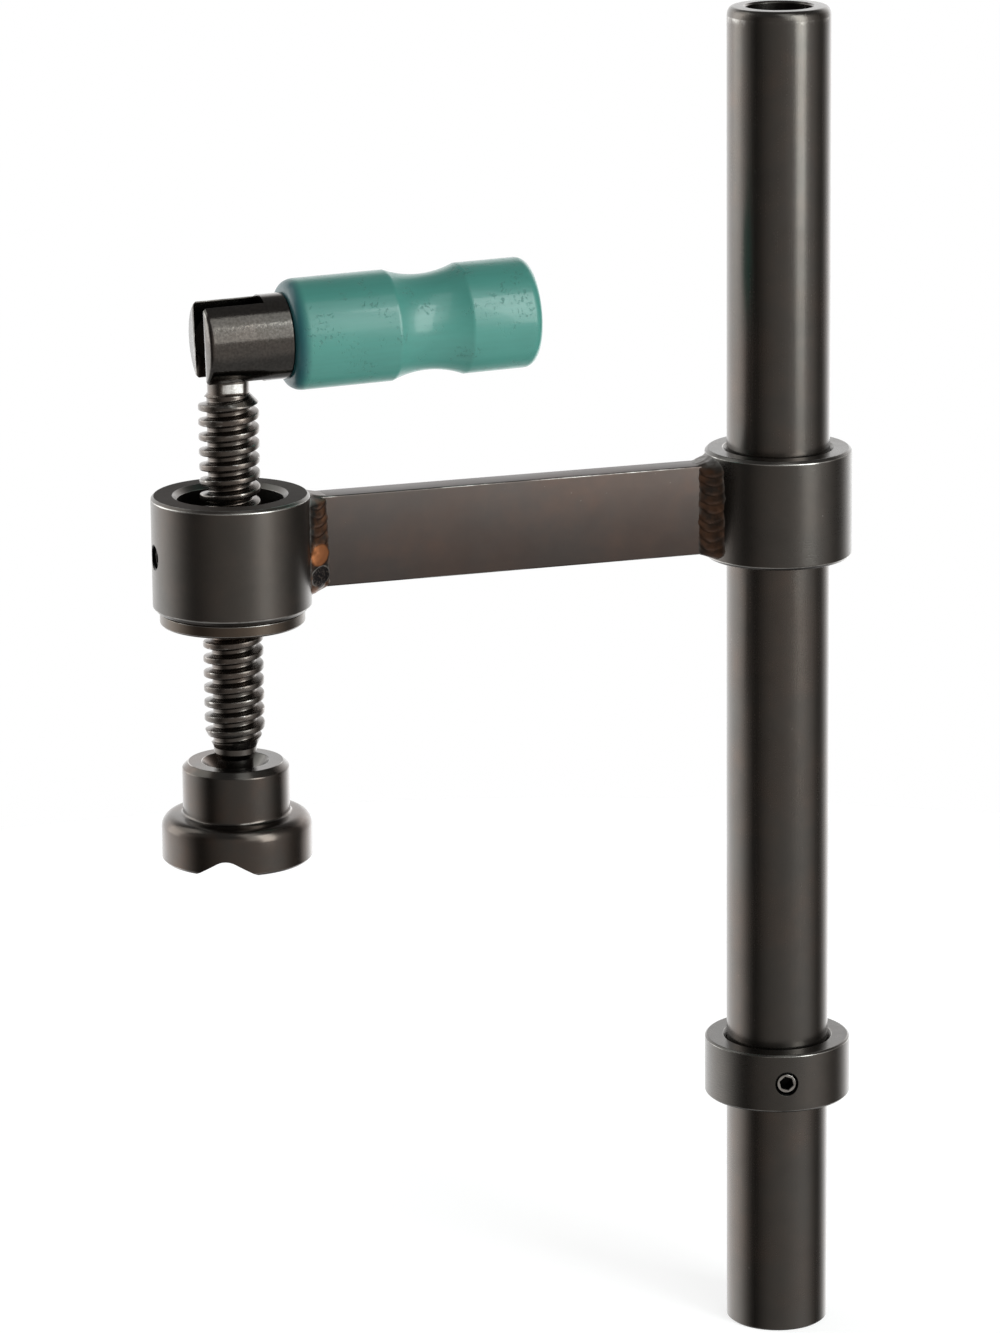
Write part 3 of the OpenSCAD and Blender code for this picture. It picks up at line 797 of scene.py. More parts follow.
def set_screw(name, at, way, foot, top):
    """A set screw from foot to top along a direction, with a hexagon socket."""
    r = sizes().screw_radius
    point = 0.8 * MM
    edge = 0.5 * MM
    corners = [
        (0.0, foot, 0, 0), (r - point, foot, 0, 0), (r, foot + point, 0, 0),
        (r, top - edge, 0.1 * MM, 0.4), (r - edge, top, 0.1 * MM, 0.9), (0.0, top, 0, 0),
    ]
    material = black_steel("screws")
    screw = turned(name, corners, material, aimed(at, way), 48, 3)
    key = sizes().screw_key / math.sqrt(3)
    deep = 2.6 * MM
    mouth = 0.35 * MM
    over = 0.25 * MM
    flare = 1.38
    sections = []
    for z, share in ((top - deep, 1.0), (top - mouth, 1.0), (top + over, flare)):
        sections.append([(x, y, z) for x, y in arc(0, 0, key * share, key * share, 30, 300, 5)])
    hexagon = lofted(name + " socket", sections, material)
    hexagon.data.transform(aimed(at, way))
    cut(screw, hexagon, 30.0)

    # The screw's face shows some wear; the rest, the socket too, is painted black as painted shade.
    def wear(place):
        along, off = from_axis(place, at, way)
        face = off < r - 0.3 * MM and along > top - 0.12 * MM
        return 0.62 if face else HOLLOW_PAINTED_SHADE

    stored_by(screw, wear)
    return screw


class ClampPost(bpy.types.Operator):
    """Build the post tube with its rounded top edge."""

    bl_idname = "clamp.post"
    bl_label = "Post"

    def execute(self, context):
        look = sizes()
        outer = POST_HIGH.x
        inner = outer - look.post_wall
        low = POST_LOW.z
        top = POST_HIGH.z
        edge = 0.5 * MM
        shank = outer - 0.03 * MM
        relief = outer - 0.4 * MM
        relief_low = -0.5 * MM
        relief_high = 1.5 * MM
        depth = look.post_round_depth
        height = look.post_round_height
        steps = 8
        head = []
        for step, (x, z) in enumerate(arc(outer - depth, top - height, depth, height, 0, 90, steps)):
            rubbed_and_shaded = 0.55 * math.sin(math.radians(90 * step / steps)) ** 2 if step else 0.6
            head.append((x, z, 0.0, rubbed_and_shaded))
        corners = [
            (inner, low + edge, 0.1 * MM, 0.3), (inner + edge, low, 0.1 * MM, 0.5),
            (shank - edge, low, 0.15 * MM, 0.7), (shank, low + edge, 0.15 * MM, 0.7),
            *bare([(shank, relief_low), (relief, relief_low), (relief, relief_high), (outer, relief_high)]),
            (outer, top - 8 * MM, 0.0, 0.0), *head,
            (inner + edge, top, 0.15 * MM, 0.8), (inner, top - edge, 0.15 * MM, 0.3),
        ]
        post = turned("post", corners, black_steel("post"), steps=144)
        placed(post, "post", "black_steel", "post_tube")
        return {"FINISHED"}


class ClampStop(bpy.types.Operator):
    """Build the stop collar and its set screw."""

    bl_idname = "clamp.stop"
    bl_label = "Stop collar"

    def execute(self, context):
        outer = STOP_HIGH.x
        bore = POST_HIGH.x + CLEARANCE
        corners = ring_corners(bore, outer, STOP_LOW.z, STOP_HIGH.z, 1.0 * MM, 0.5 * MM, 0.5 * MM)
        collar = turned("stop_ring", corners, black_steel("collars"))
        way = Vector((math.cos(STOP_SCREW_TURN), math.sin(STOP_SCREW_TURN), 0))
        at = Vector((0, 0, (STOP_LOW.z + STOP_HIGH.z) / 2))
        screw_hole(collar, at, way, outer)
        placed(collar, "stop_collar", "black_steel", "stop_collar")
        screw = set_screw("stop_screw_detail", at, way, POST_HIGH.x + SCREW_CLEARANCE, outer - 0.6 * MM)
        placed(screw, "stop_screw", "black_screw", "stop_collar_screw")
        return {"FINISHED"}


class ClampArm(bpy.types.Operator):
    """Build the arm: its collar, the flat bar and the boss with the bush's set screw."""

    bl_idname = "clamp.arm"
    bl_label = "Arm"

    def execute(self, context):
        bore = POST_HIGH.x + CLEARANCE
        corners = ring_corners(bore, ARM_HIGH.x, ARM_LOW.z, ARM_HIGH.z, 1.1 * MM, 0.8 * MM, 0.8 * MM)
        placed(turned("arm_ring", corners, black_steel("collars")), "arm", "black_steel", "arm_collar")
        self.boss()
        self.bar()
        return {"FINISHED"}

    def boss(self):
        """The boss, with the set screw that holds the bush."""
        bush = sizes().bush_radius
        low = BOSS_LOW.z
        high = BOSS_HIGH.z
        corners = ring_corners(bush + CLEARANCE, BOSS_RADIUS, low, high, 1.3 * MM, 0.8 * MM, 1.2 * MM)
        boss = turned("boss", corners, black_steel("boss"), AT_SPINDLE)
        way = Vector((-1, 0, 0))
        centre = Vector((SPINDLE_X, 0, (low + high) / 2))
        screw_hole(boss, centre, way, BOSS_RADIUS)
        placed(boss, "arm", "black_steel", "spindle_boss")
        top = BOSS_RADIUS - 1.0 * MM
        screw = set_screw("bush_screw_detail", centre, way, bush + SCREW_CLEARANCE, top)
        placed(screw, "arm", "black_screw", "bush_set_screw")

    def bar(self):
        """The flat bar, with broken edges along its length and a heat tint at its ends."""
        edge = 0.45 * MM
        half = BAR_HIGH.y
        middle = (BAR_LOW.z + BAR_HIGH.z) / 2
        tall = (BAR_HIGH.z - BAR_LOW.z) / 2
        outline = []
        for y, z, start in ((1, 1, 0), (-1, 1, 90), (-1, -1, 180), (1, -1, 270)):
            outline += arc(y * (half - edge), z * (tall - edge), edge, edge, start, 90, 4)
        depth = 0.5 * MM
        left = SPINDLE_X + math.sqrt(BOSS_RADIUS**2 - half**2) - depth
        right = -math.sqrt(ARM_HIGH.x**2 - half**2) + depth
        steps = 48
        stations = [left + (right - left) * step / steps for step in range(steps + 1)]
        sections = [[(x, y, middle + z) for y, z in outline] for x in stations]
        bar = lofted("bar", sections, black_steel("bar"))
        flat = 0.02 * MM
        reach = 9 * MM

        def wear(place):
            on_side = abs(abs(place.y) - half) < flat
            on_top = abs(abs(place.z - middle) - tall) < flat
            return 0.0 if on_side or on_top else 0.7

        def heat(place):
            return max(0.0, 1 - min(place.x - left, right - place.x) / reach)

        stored_by(bar, wear)
        stored_by(bar, heat, "heat")
        placed(bar, "arm", "black_steel", "arm_bar")


def bead_tree():
    """The tree that lays a rippled weld bead along a line in the corner of a bar and a round.

    Across runs from the bead's edge on the round to its edge on the bar. The drop and the pool under
    it are round swellings at a height on the line.
    """
    if "Weld bead" in bpy.data.node_groups:
        return bpy.data.node_groups["Weld bead"]
    lengths = ["Radius", "Leg", "Ripple spacing", "Ripple height", "Seed", "Drop height"]
    tree, get = geometry_tree("Weld bead", ["Points", "Rows"], lengths)
    drop_half = 3.3 * MM
    pool_half = 3.0 * MM
    pool_under = 5.9 * MM
    sheet, column, row = grid(tree, get["Points"], get["Rows"])
    across = row / (get["Rows"] - 1)
    line = sampled(get["Geometry"], column)
    stored = ("out_y", "out_z", "rise", "run")
    out_y, out_z, rise, run = [sampled(get["Geometry"], column, name) for name in stored]
    wobble = noise(xyz(tree, run * 260.0, across * 1.5, get["Seed"]), 1.0, 2.0) - 0.5
    bow = 1 - (2 * across - 1) * (2 * across - 1)
    phase = run / get["Ripple spacing"] - 0.85 * bow + wobble * 0.8 + get["Seed"]
    saw = phase.changed("FRACT")
    scale = saw**0.7 - saw.steep(0.86, 1.0) * 1.0
    swell = bow**0.6
    ripple = get["Ripple height"] * (scale - 0.35) * swell
    side = (across - 0.5) * 2.0
    over = line.part("Z") - get["Drop height"]
    drop_along = over / drop_half
    drop = (1 - side * side - drop_along * drop_along).math("MAXIMUM", 0.0)
    pool_across = side + 0.1 + wobble * 0.9
    pool_along = (over + pool_under) / pool_half + wobble * 0.7
    pool = (1 - pool_across * pool_across - pool_along * pool_along).math("MAXIMUM", 0.0)
    plain = 1 - (drop + pool).steep(0.0, 0.3)
    bulge = (drop**0.5 * 0.5 + pool**0.5 * 0.35) * MM
    lift = (ripple * plain + wobble * 0.5 * MM * swell + bulge) * (rise / get["Leg"]).math("MINIMUM", 1.0)
    off = rise * (1 + 0.5 * wobble) * across**1.12 - 0.10 * MM * (1 - across) + lift * 0.707
    y = line.part("Y") + out_y * off
    z = line.part("Z") + out_z * off
    flat = (get["Radius"] * get["Radius"] - y * y).math("MAXIMUM", 0.0) ** 0.5
    x = flat + get["Leg"] * (1 - 0.4 * wobble) * (1 - across) ** 1.12 - 0.12 * MM * across + lift * 0.707
    values = {
        "ridge": scale * swell,
        "drop": drop,
        "pool": pool,
        "top": (rise / get["Leg"]).steep(0.9, 0.3) * out_z.steep(0.0, 0.5),
        "wear": (2 * across - 1).changed("ABSOLUTE").steep(0.72, 1.0),
    }
    return closed(sheet, xyz(tree, x, y, z), values, get["Material"])


class ClampWelds(bpy.types.Operator):
    """Lay the four weld beads between the bar and its two rounds."""

    bl_idname = "clamp.welds"
    bl_label = "Weld beads"

    def execute(self, context):
        edge = 1.0 * MM
        low_edge = 1.2 * MM
        drop = 165.3 * MM
        boss = (SPINDLE_X, 1, BOSS_RADIUS, BAR_LOW.z - BOSS_LOW.z - low_edge, BOSS_HIGH.z - BAR_HIGH.z - edge)
        collar = (0.0, -1, ARM_HIGH.x, BAR_LOW.z - ARM_LOW.z - edge, ARM_HIGH.z - BAR_HIGH.z - edge)
        self.bead("boss_bead_front", "boss_weld_front", boss, 1, 0.31, drop)
        self.bead("boss_bead_back", "boss_weld_back", boss, -1, 3.7)
        self.bead("collar_bead_front", "collar_weld_front", collar, 1, 5.15)
        self.bead("collar_bead_back", "collar_weld_back", collar, -1, 8.4)
        return {"FINISHED"}

    def bead(self, name, node, ring, flip_y, seed, drop=0.0):
        """One bead; a ring is its place along X, its side, its radius and its room below and above."""
        look = sizes()
        at, flip_x, radius, below, above = ring
        least = 0.2 * MM
        most = 2.2 * MM
        less_on_collar = 1.0 * MM
        on_round = look.weld_leg - (less_on_collar if at == 0 else 0.0)
        line, stored = self.path(on_round, max(least, min(most, below)), max(least, min(most, above)))
        metal = weld_metal("Weld metal")
        inputs = {
            "Points": len(line), "Rows": 17, "Radius": radius, "Leg": look.weld_leg,
            "Ripple spacing": look.ripple_spacing, "Ripple height": look.ripple_height,
            "Seed": seed, "Drop height": drop, "Material": metal,
        }
        made = generated(name, line_mesh(name, line, stored), bead_tree(), inputs)
        made.transform(Matrix.Diagonal((flip_x, flip_y, 1, 1)))
        if flip_x * flip_y < 0:
            made.flip_normals()
        made.transform(Matrix.Translation((at, 0, 0)))
        for face in made.polygons:
            face.use_smooth = True
        placed(added(name, made, metal), "arm", "weld_metal", node)

    def path(self, leg, low, high):
        """The line round the bar's end, from the middle of its upper edge to that of its lower edge.

        Each point has the direction away from the bar, how far the bead reaches that way, and its
        distance along the line.
        """
        half = BAR_HIGH.y
        top = BAR_HIGH.z
        foot = BAR_LOW.z
        bend = 1.2 * MM
        flat = half - bend
        tall = top - foot - 2 * bend
        few = 6
        many = 90
        points = [((-flat * step / few, top), (0.0, 1.0)) for step in range(few)]
        points += zip(arc(-flat, top - bend, bend, bend, 90, 90, few), arc(0, 0, 1, 1, 90, 90, few))
        points += [((-half, top - bend - tall * step / many), (-1.0, 0.0)) for step in range(1, many)]
        points += zip(arc(-flat, foot + bend, bend, bend, 180, 90, few), arc(0, 0, 1, 1, 180, 90, few))
        points += [((-flat * (1 - step / few), foot), (0.0, -1.0)) for step in range(1, few + 1)]
        line = [(0.0, y, z) for (y, z), way in points]
        ways = [way for place, way in points]
        run = [0.0]
        for before, here in zip(line, line[1:]):
            run.append(run[-1] + (Vector(here) - Vector(before)).length)
        rise = [1 / math.hypot(y / leg, z / (high if z > 0 else low)) for y, z in ways]
        return line, {"out_y": [y for y, z in ways], "out_z": [z for y, z in ways], "rise": rise, "run": run}


def thread_profile(crest, root, pitch, widen, worn):
    """One pitch of a trapezoidal thread, from the middle of a root to the middle of the next."""
    slope = math.tan(math.radians(15))
    middle = (crest + root) / 2
    top = pitch / 4 + widen - (crest - middle) * slope
    foot = pitch / 4 + widen + (middle - root) * slope
    soft = 0.42 * MM
    corners = [
        (root, pitch / 2, 0.0, 0.0), (root, foot, soft, 0.0), (crest, top, soft, worn),
        (crest, -top, soft, worn), (root, -foot, soft, 0.0), (root, -pitch / 2, 0.0, 0.0),
    ]
    return rounded(corners, 3)[::-1]


def threaded(name, material, crest, root, core, ends, tapers, worn, widen):
    """A helical thread surface on the spindle's axis between two heights, with its runouts."""
    pitch = sizes().thread_pitch
    low, high = ends
    first = math.floor(low / pitch) - 1
    last = math.ceil(high / pitch) + 1
    per_turn = 72
    points = thread_profile(crest, root, pitch, widen, worn)
    line = [(x, 0, z + first * pitch) for x, z, wear in points]
    inputs = {
        "Steps": (last - first) * per_turn, "Steps per turn": per_turn, "Pitch": pitch,
        "Low end": low, "High end": high, "Low taper": tapers[0], "High taper": tapers[1],
        "Core radius": core, "Full radius": crest, "Material": material,
    }
    mesh = line_mesh(name, line, {"wear": [wear for x, z, wear in points]})
    made = tidied(generated(name, mesh, turning_tree(), inputs), 60.0)
    made.transform(AT_SPINDLE)
    return added(name, made, material)


class ClampBush(bpy.types.Operator):
    """Build the flanged bush with its internal thread."""

    bl_idname = "clamp.bush"
    bl_label = "Threaded bush"

    def execute(self, context):
        look = sizes()
        flange = (BUSH_HIGH.x - BUSH_LOW.x) / 2
        body = look.bush_radius
        bore = look.thread_diameter / 2 + 0.25 * MM
        runout = 1.2 * MM
        low = BUSH_LOW.z
        seat = BOSS_LOW.z
        top = BUSH_HIGH.z
        edge = 0.5 * MM
        mouth = 0.7 * MM
        lead = 0.8 * MM
        corners = [
            (bore, low + edge, 0.0, 0.0), (bore + mouth, low, 0.15 * MM, 0.5),
            (flange - edge, low, 0.2 * MM, 0.7), (flange, low + edge, 0.2 * MM, 1.0),
            (flange, seat - edge, 0.2 * MM, 1.0), (flange - edge, seat, 0.0, 0.5),
            (body, seat, 0.0, 0.0), (body, top - lead, 0.0, 0.0), (body - lead, top, 0.1 * MM, 0.4),
            (bore + mouth, top, 0.15 * MM, 0.4), (bore, top - edge, 0.0, 0.0),
        ]
        bush = turned("bush", corners, black_steel("bush"), AT_SPINDLE)
        placed(bush, "arm", "bare_steel", "threaded_bush")
        steel = turned_steel("Turned steel bush", shaded(finishes().turned, 0.55), 0.34)
        root = look.thread_diameter / 2 - look.thread_pitch / 2
        ends = (low + runout, top - runout)
        ridge = threaded("bush_thread", steel, bore + 0.1 * MM, root, bore, ends, (MM, MM), 0.2, 0.12 * MM)
        ridge.data.flip_normals()
        placed(ridge, "arm", "bare_steel")
        return {"FINISHED"}


class ClampSpindle(bpy.types.Operator):
    """Build the spindle: its thread, neck, ball and tongue."""

    bl_idname = "clamp.spindle"
    bl_label = "Spindle"

    def execute(self, context):
        look = sizes()
        steel = black_steel("spindle")
        crest = look.thread_diameter / 2
        root = crest - look.thread_pitch / 2 - 0.25 * MM
        core = root - 0.05 * MM
        low = BOSS_LOW.z - look.thread_below
        high = BOSS_HIGH.z + look.thread_above
        tapers = (look.thread_taper, 2.4 * MM)
        thread = threaded("spindle_thread", steel, crest, root, core, (low, high), tapers, 0.9, 0.08 * MM)
        placed(thread, "spindle", "black_steel", "spindle")
        self.ball(steel, low, core)
        self.shank(steel, high, core)
        self.tongue()
        return {"FINISHED"}

    def ball(self, steel, low, core):
        """The ball and the neck under the thread."""
        look = sizes()
        r = look.ball_radius
        neck = look.neck_radius
        ball = SPINDLE_LOW.z + r
        ball_turn = 128
        neck_low = ball + 4.2 * MM
        neck_high = low - 3.0 * MM
        points = arc(0.0, ball, r, r, -90, ball_turn, 12)
        points[0] = (0.0, ball - r)
        corners = bare(points + [(neck, neck_low), (neck, neck_low + 0.1 * MM)])
        corners += [(neck, neck_high, 0.4 * MM, 0.0), (core, neck_high + 1.5 * MM, 0.3 * MM, 0.6)]
        inside = low + 0.3 * MM
        corners += bare([(core, low + 0.2 * MM), (core - 1 * MM, inside)])
        corners += bare([(0.0, inside), (0.0, low + 0.4 * MM)])
        placed(turned("spindle_end", corners, steel, AT_SPINDLE, 72), "spindle", "black_steel")

    def shank(self, steel, high, core):
        """The flattened shank over the thread, polished where the fork rubs it, and its shoulder."""
        thick = sizes().tongue_half
        wide = sizes().shank_radius
        flat = math.degrees(math.asin(thick / wide))
        outline = []
        for side in (0, 180):
            outline += arc(0, 0, wide, wide, side - flat, 2 * flat, 8)
        rub_low = high + 0.9 * MM
        rub_high = high + 3.2 * MM
        fade = 0.15 * MM
        stations = (high - 0.6 * MM, rub_low - fade, rub_low, rub_high, rub_high + fade, PIN_Z - 4 * MM)
        sections = [[(SPINDLE_X + x, y, z) for x, y in outline] for z in stations]
        shank = lofted("spindle_shank", sections, steel)
        near = 0.01 * MM

        def wear(place):
            on_flat = abs(abs(place.y) - thick) < 2 * near
            return RUBBED_BRIGHT if on_flat and rub_low - near < place.z < rub_high + near else 0.0

        stored_by(shank, wear)
        placed(shank, "spindle", "black_steel")
        foot = high - 0.8 * MM
        top = high + 0.6 * MM
        corners = bare([(0.0, foot), (core, foot)]) + [(core, high + 0.1 * MM, 0.2 * MM, 0.6)]
        corners += bare([(wide - 0.3 * MM, top), (0.0, top)])
        placed(turned("spindle_shoulder", corners, steel, AT_SPINDLE, 72), "spindle", "black_steel")

    def tongue(self):
        """The flat round head between the fork's cheeks, painted near black as painted shade."""
        thick = sizes().tongue_half
        painted_shade_steel = black_steel("tongue")
        painted_shade_steel.node_tree.nodes["Principled BSDF"].inputs["Specular Tint"].default_value = (0, 0, 0, 1)
        corners = round_bar(sizes().tongue_radius, -thick, thick, 0.4 * MM, 0.8)
        placed(turned("spindle_tongue", corners, painted_shade_steel, AT_PIN @ ALONG_Y, 96), "spindle", "black_steel")


class ClampPad(bpy.types.Operator):
    """Build the swivelling pressure pad with its groove, and finish the wire ring in it."""

    bl_idname = "clamp.pad"
    bl_label = "Pressure pad"

    def execute(self, context):
        look = sizes()
        steel = black_steel("pad")
        radius = (PAD_HIGH.x - PAD_LOW.x) / 2
        foot = PAD_LOW.z
        top = PAD_HIGH.z
        rim = foot + look.rim_height
        hub = look.hub_radius
        lip = 9.0 * MM
        mouth = 6.1 * MM
        mouth_depth = 3.6 * MM
        socket = 6.6 * MM
        socket_top = foot + 16.3 * MM
        socket_foot = foot + 8.9 * MM
        edge = 0.6 * MM
        chamfer = 1.6 * MM
        seat = 2.0 * MM
        corners = [
            (0.0, foot, 0, 0), (radius - edge, foot, 0.25 * MM, 0.5), (radius, foot + edge, 0.25 * MM, 0.8),
            (radius, rim, 3.4 * MM, 0.35), (hub, rim + 0.5 * MM, 0.8 * MM, 0.55),
            (hub, top - chamfer, 0.6 * MM, 0.5), (hub - chamfer, top, 0.4 * MM, 0.9),
            (lip, top, 0.25 * MM, 0.7), (mouth, top - mouth_depth, 0.2 * MM, 0.3),
            *bare([(mouth, socket_top), (socket, socket_top), (socket, socket_foot + seat)]),
            *bare([(socket - seat, socket_foot), (0.0, socket_foot)]),
        ]
        pad = turned("pad", corners, steel, AT_SPINDLE, 144, 7)
        cut(pad, self.groove(steel, radius, foot), 24.0)
        placed(pad, "pad", "black_steel", "pressure_pad")
        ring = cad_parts["snap_ring"]
        ring.data.materials.clear()
        ring.data.materials.append(turned_steel("Turned steel wire", finishes().turned, 0.3))
        return {"FINISHED"}

    def groove(self, steel, radius, foot):
        """The cutter for the groove: two slopes that meet in a round bottom."""
        r = sizes().groove_radius
        deep = sizes().groove_depth
        slope = math.radians(30)
        under = 2.0 * MM
        wide = r * math.sin(slope) + (deep + under - r * (1 - math.cos(slope))) / math.tan(slope)
        outline = [(-wide, -under), *arc(0, deep - r, r, r, 120, -60, 12), (wide, -under)]
        reach = radius + 2 * MM
        cutter = lofted("pad_groove", [[(x, y, z) for x, z in outline] for y in (-reach, reach)], steel)
        cutter.data.transform(Matrix.Translation((SPINDLE_X, 0, foot)) @ Matrix.Rotation(PAD_TURN, 4, "Z"))
        return cutter


class ClampHandle(bpy.types.Operator):
    """Build the handle: the slotted fork, its pin and the lacquered grip."""

    bl_idname = "clamp.handle"
    bl_label = "Handle"

    def execute(self, context):
        self.fork()
        self.pin()
        self.grip()
        return {"FINISHED"}

    def fork(self):
        """The fork: a round body and two cheeks with a chamfered end."""
        look = sizes()
        steel = black_steel("fork")
        r = look.fork_radius
        floor = look.slot_depth - look.fork_nose
        end = look.fork_end
        edge = 0.3 * MM
        tang = 4.0 * MM
        corners = [(0.0, floor, 0, 0), (r, floor, 0, 0), (r, end - edge, 0.2 * MM, 0.4)]
        corners += bare([(r - edge, end), (tang, end), (tang, end + 1 * MM), (0.0, end + 1 * MM)])
        body = turned("fork_body", corners, steel, HANDLE_PLACE @ ALONG_X)
        placed(body, "handle", "black_steel", "handle_fork")
        self.cheek("fork_cheek_back", 1, floor, steel)
        self.cheek("fork_cheek_front", -1, floor, steel)

    def cheek(self, name, side, floor, steel):
        """One cheek, skinned from the nose to the slot's floor."""
        look = sizes()
        r = look.fork_radius
        nose = -look.fork_nose
        gap = look.tongue_half + 0.15 * MM
        soft = 0.3 * MM
        sections = []
        chamfer = ((0, 0.8), (0.12, 0.58), (0.68, 0.08), (0.9, 0), (1.4, 0))
        stations = [(nose + x * MM, inset * MM) for x, inset in chamfer]
        for x, inset in stations + [(floor, 0.0)]:
            radius = r - inset
            inner = gap + (0.2 * MM if x < nose + 0.1 * MM else 0.0)
            half = math.sqrt(radius**2 - inner**2)
            start = math.degrees(math.atan2(inner + soft, math.sqrt(radius**2 - (inner + soft) ** 2)))
            edge = [(half - 0.04 * MM, inner + 0.12 * MM), (half - 0.14 * MM, inner + 0.03 * MM)]
            edge.append((half - soft - 0.1 * MM, inner))
            ring = arc(0, 0, radius, radius, start, 180 - 2 * start, 48)
            ring += [(-z, y) for z, y in edge] + edge[::-1]
            sections.append([(x, side * y, z) for z, y in ring])
        cheek = lofted(name, sections, steel)

        def wear(place):
            on_nose = nose + 0.05 * MM < place.x < nose + 0.5 * MM
            on_slot = gap + 0.02 * MM < abs(place.y) < gap + 0.2 * MM
            return 0.8 if on_nose or on_slot else 0.0

        stored_by(cheek, wear)
        cheek.data.transform(HANDLE_PLACE)
        placed(cheek, "handle", "black_steel")

    def pin(self):
        """The hinge pin, dressed off with the fork's round."""
        corners = round_bar(sizes().pin_radius, PIN_LOW.y, PIN_HIGH.y, 0.3 * MM, 0.3)
        steel = turned_steel("Turned steel pin", (0.13, 0.075, 0.055), 0.32)
        placed(turned("hinge_pin", corners, steel, AT_PIN @ ALONG_Y, 64), "handle", "bare_steel", "fork_pin")

    def grip(self):
        """The turned wooden grip with its waist."""
        look = sizes()
        r = look.grip_radius
        near = look.fork_end
        far = near + look.grip_length
        face = look.grip_face
        waist = look.waist_radius
        half = look.waist_half
        middle = near + look.waist_place
        crease = 0.5 * MM
        shoulder = 3.8 * MM
        soft = 3.0 * MM
        dip = r - waist
        cove = (half**2 + dip**2) / (2 * dip)
        sweep = math.degrees(math.asin(half / cove))
        tang = 5.2 * MM
        inside = near + 0.05 * MM
        points = [(0.0, inside), (tang, inside), (face - 0.5 * MM, near)]
        points += arc(face, near + shoulder, r - face, shoulder, -90, 90, 12)
        points.append((r, middle - half - crease))
        points += arc(waist + cove, middle, -cove, cove, -sweep, 2 * sweep, 32)
        points.append((r, middle + half + crease))
        points += arc(r - soft, far - soft, soft, soft, 0, 90, 8)
        points += [(r - soft - 0.8 * MM, far), (0.0, far)]
        grip = turned("grip", bare(points), lacquer("Lacquered wood"), HANDLE_PLACE @ ALONG_X, 144)
        placed(grip, "handle", "lacquered_wood", "handle_grip")


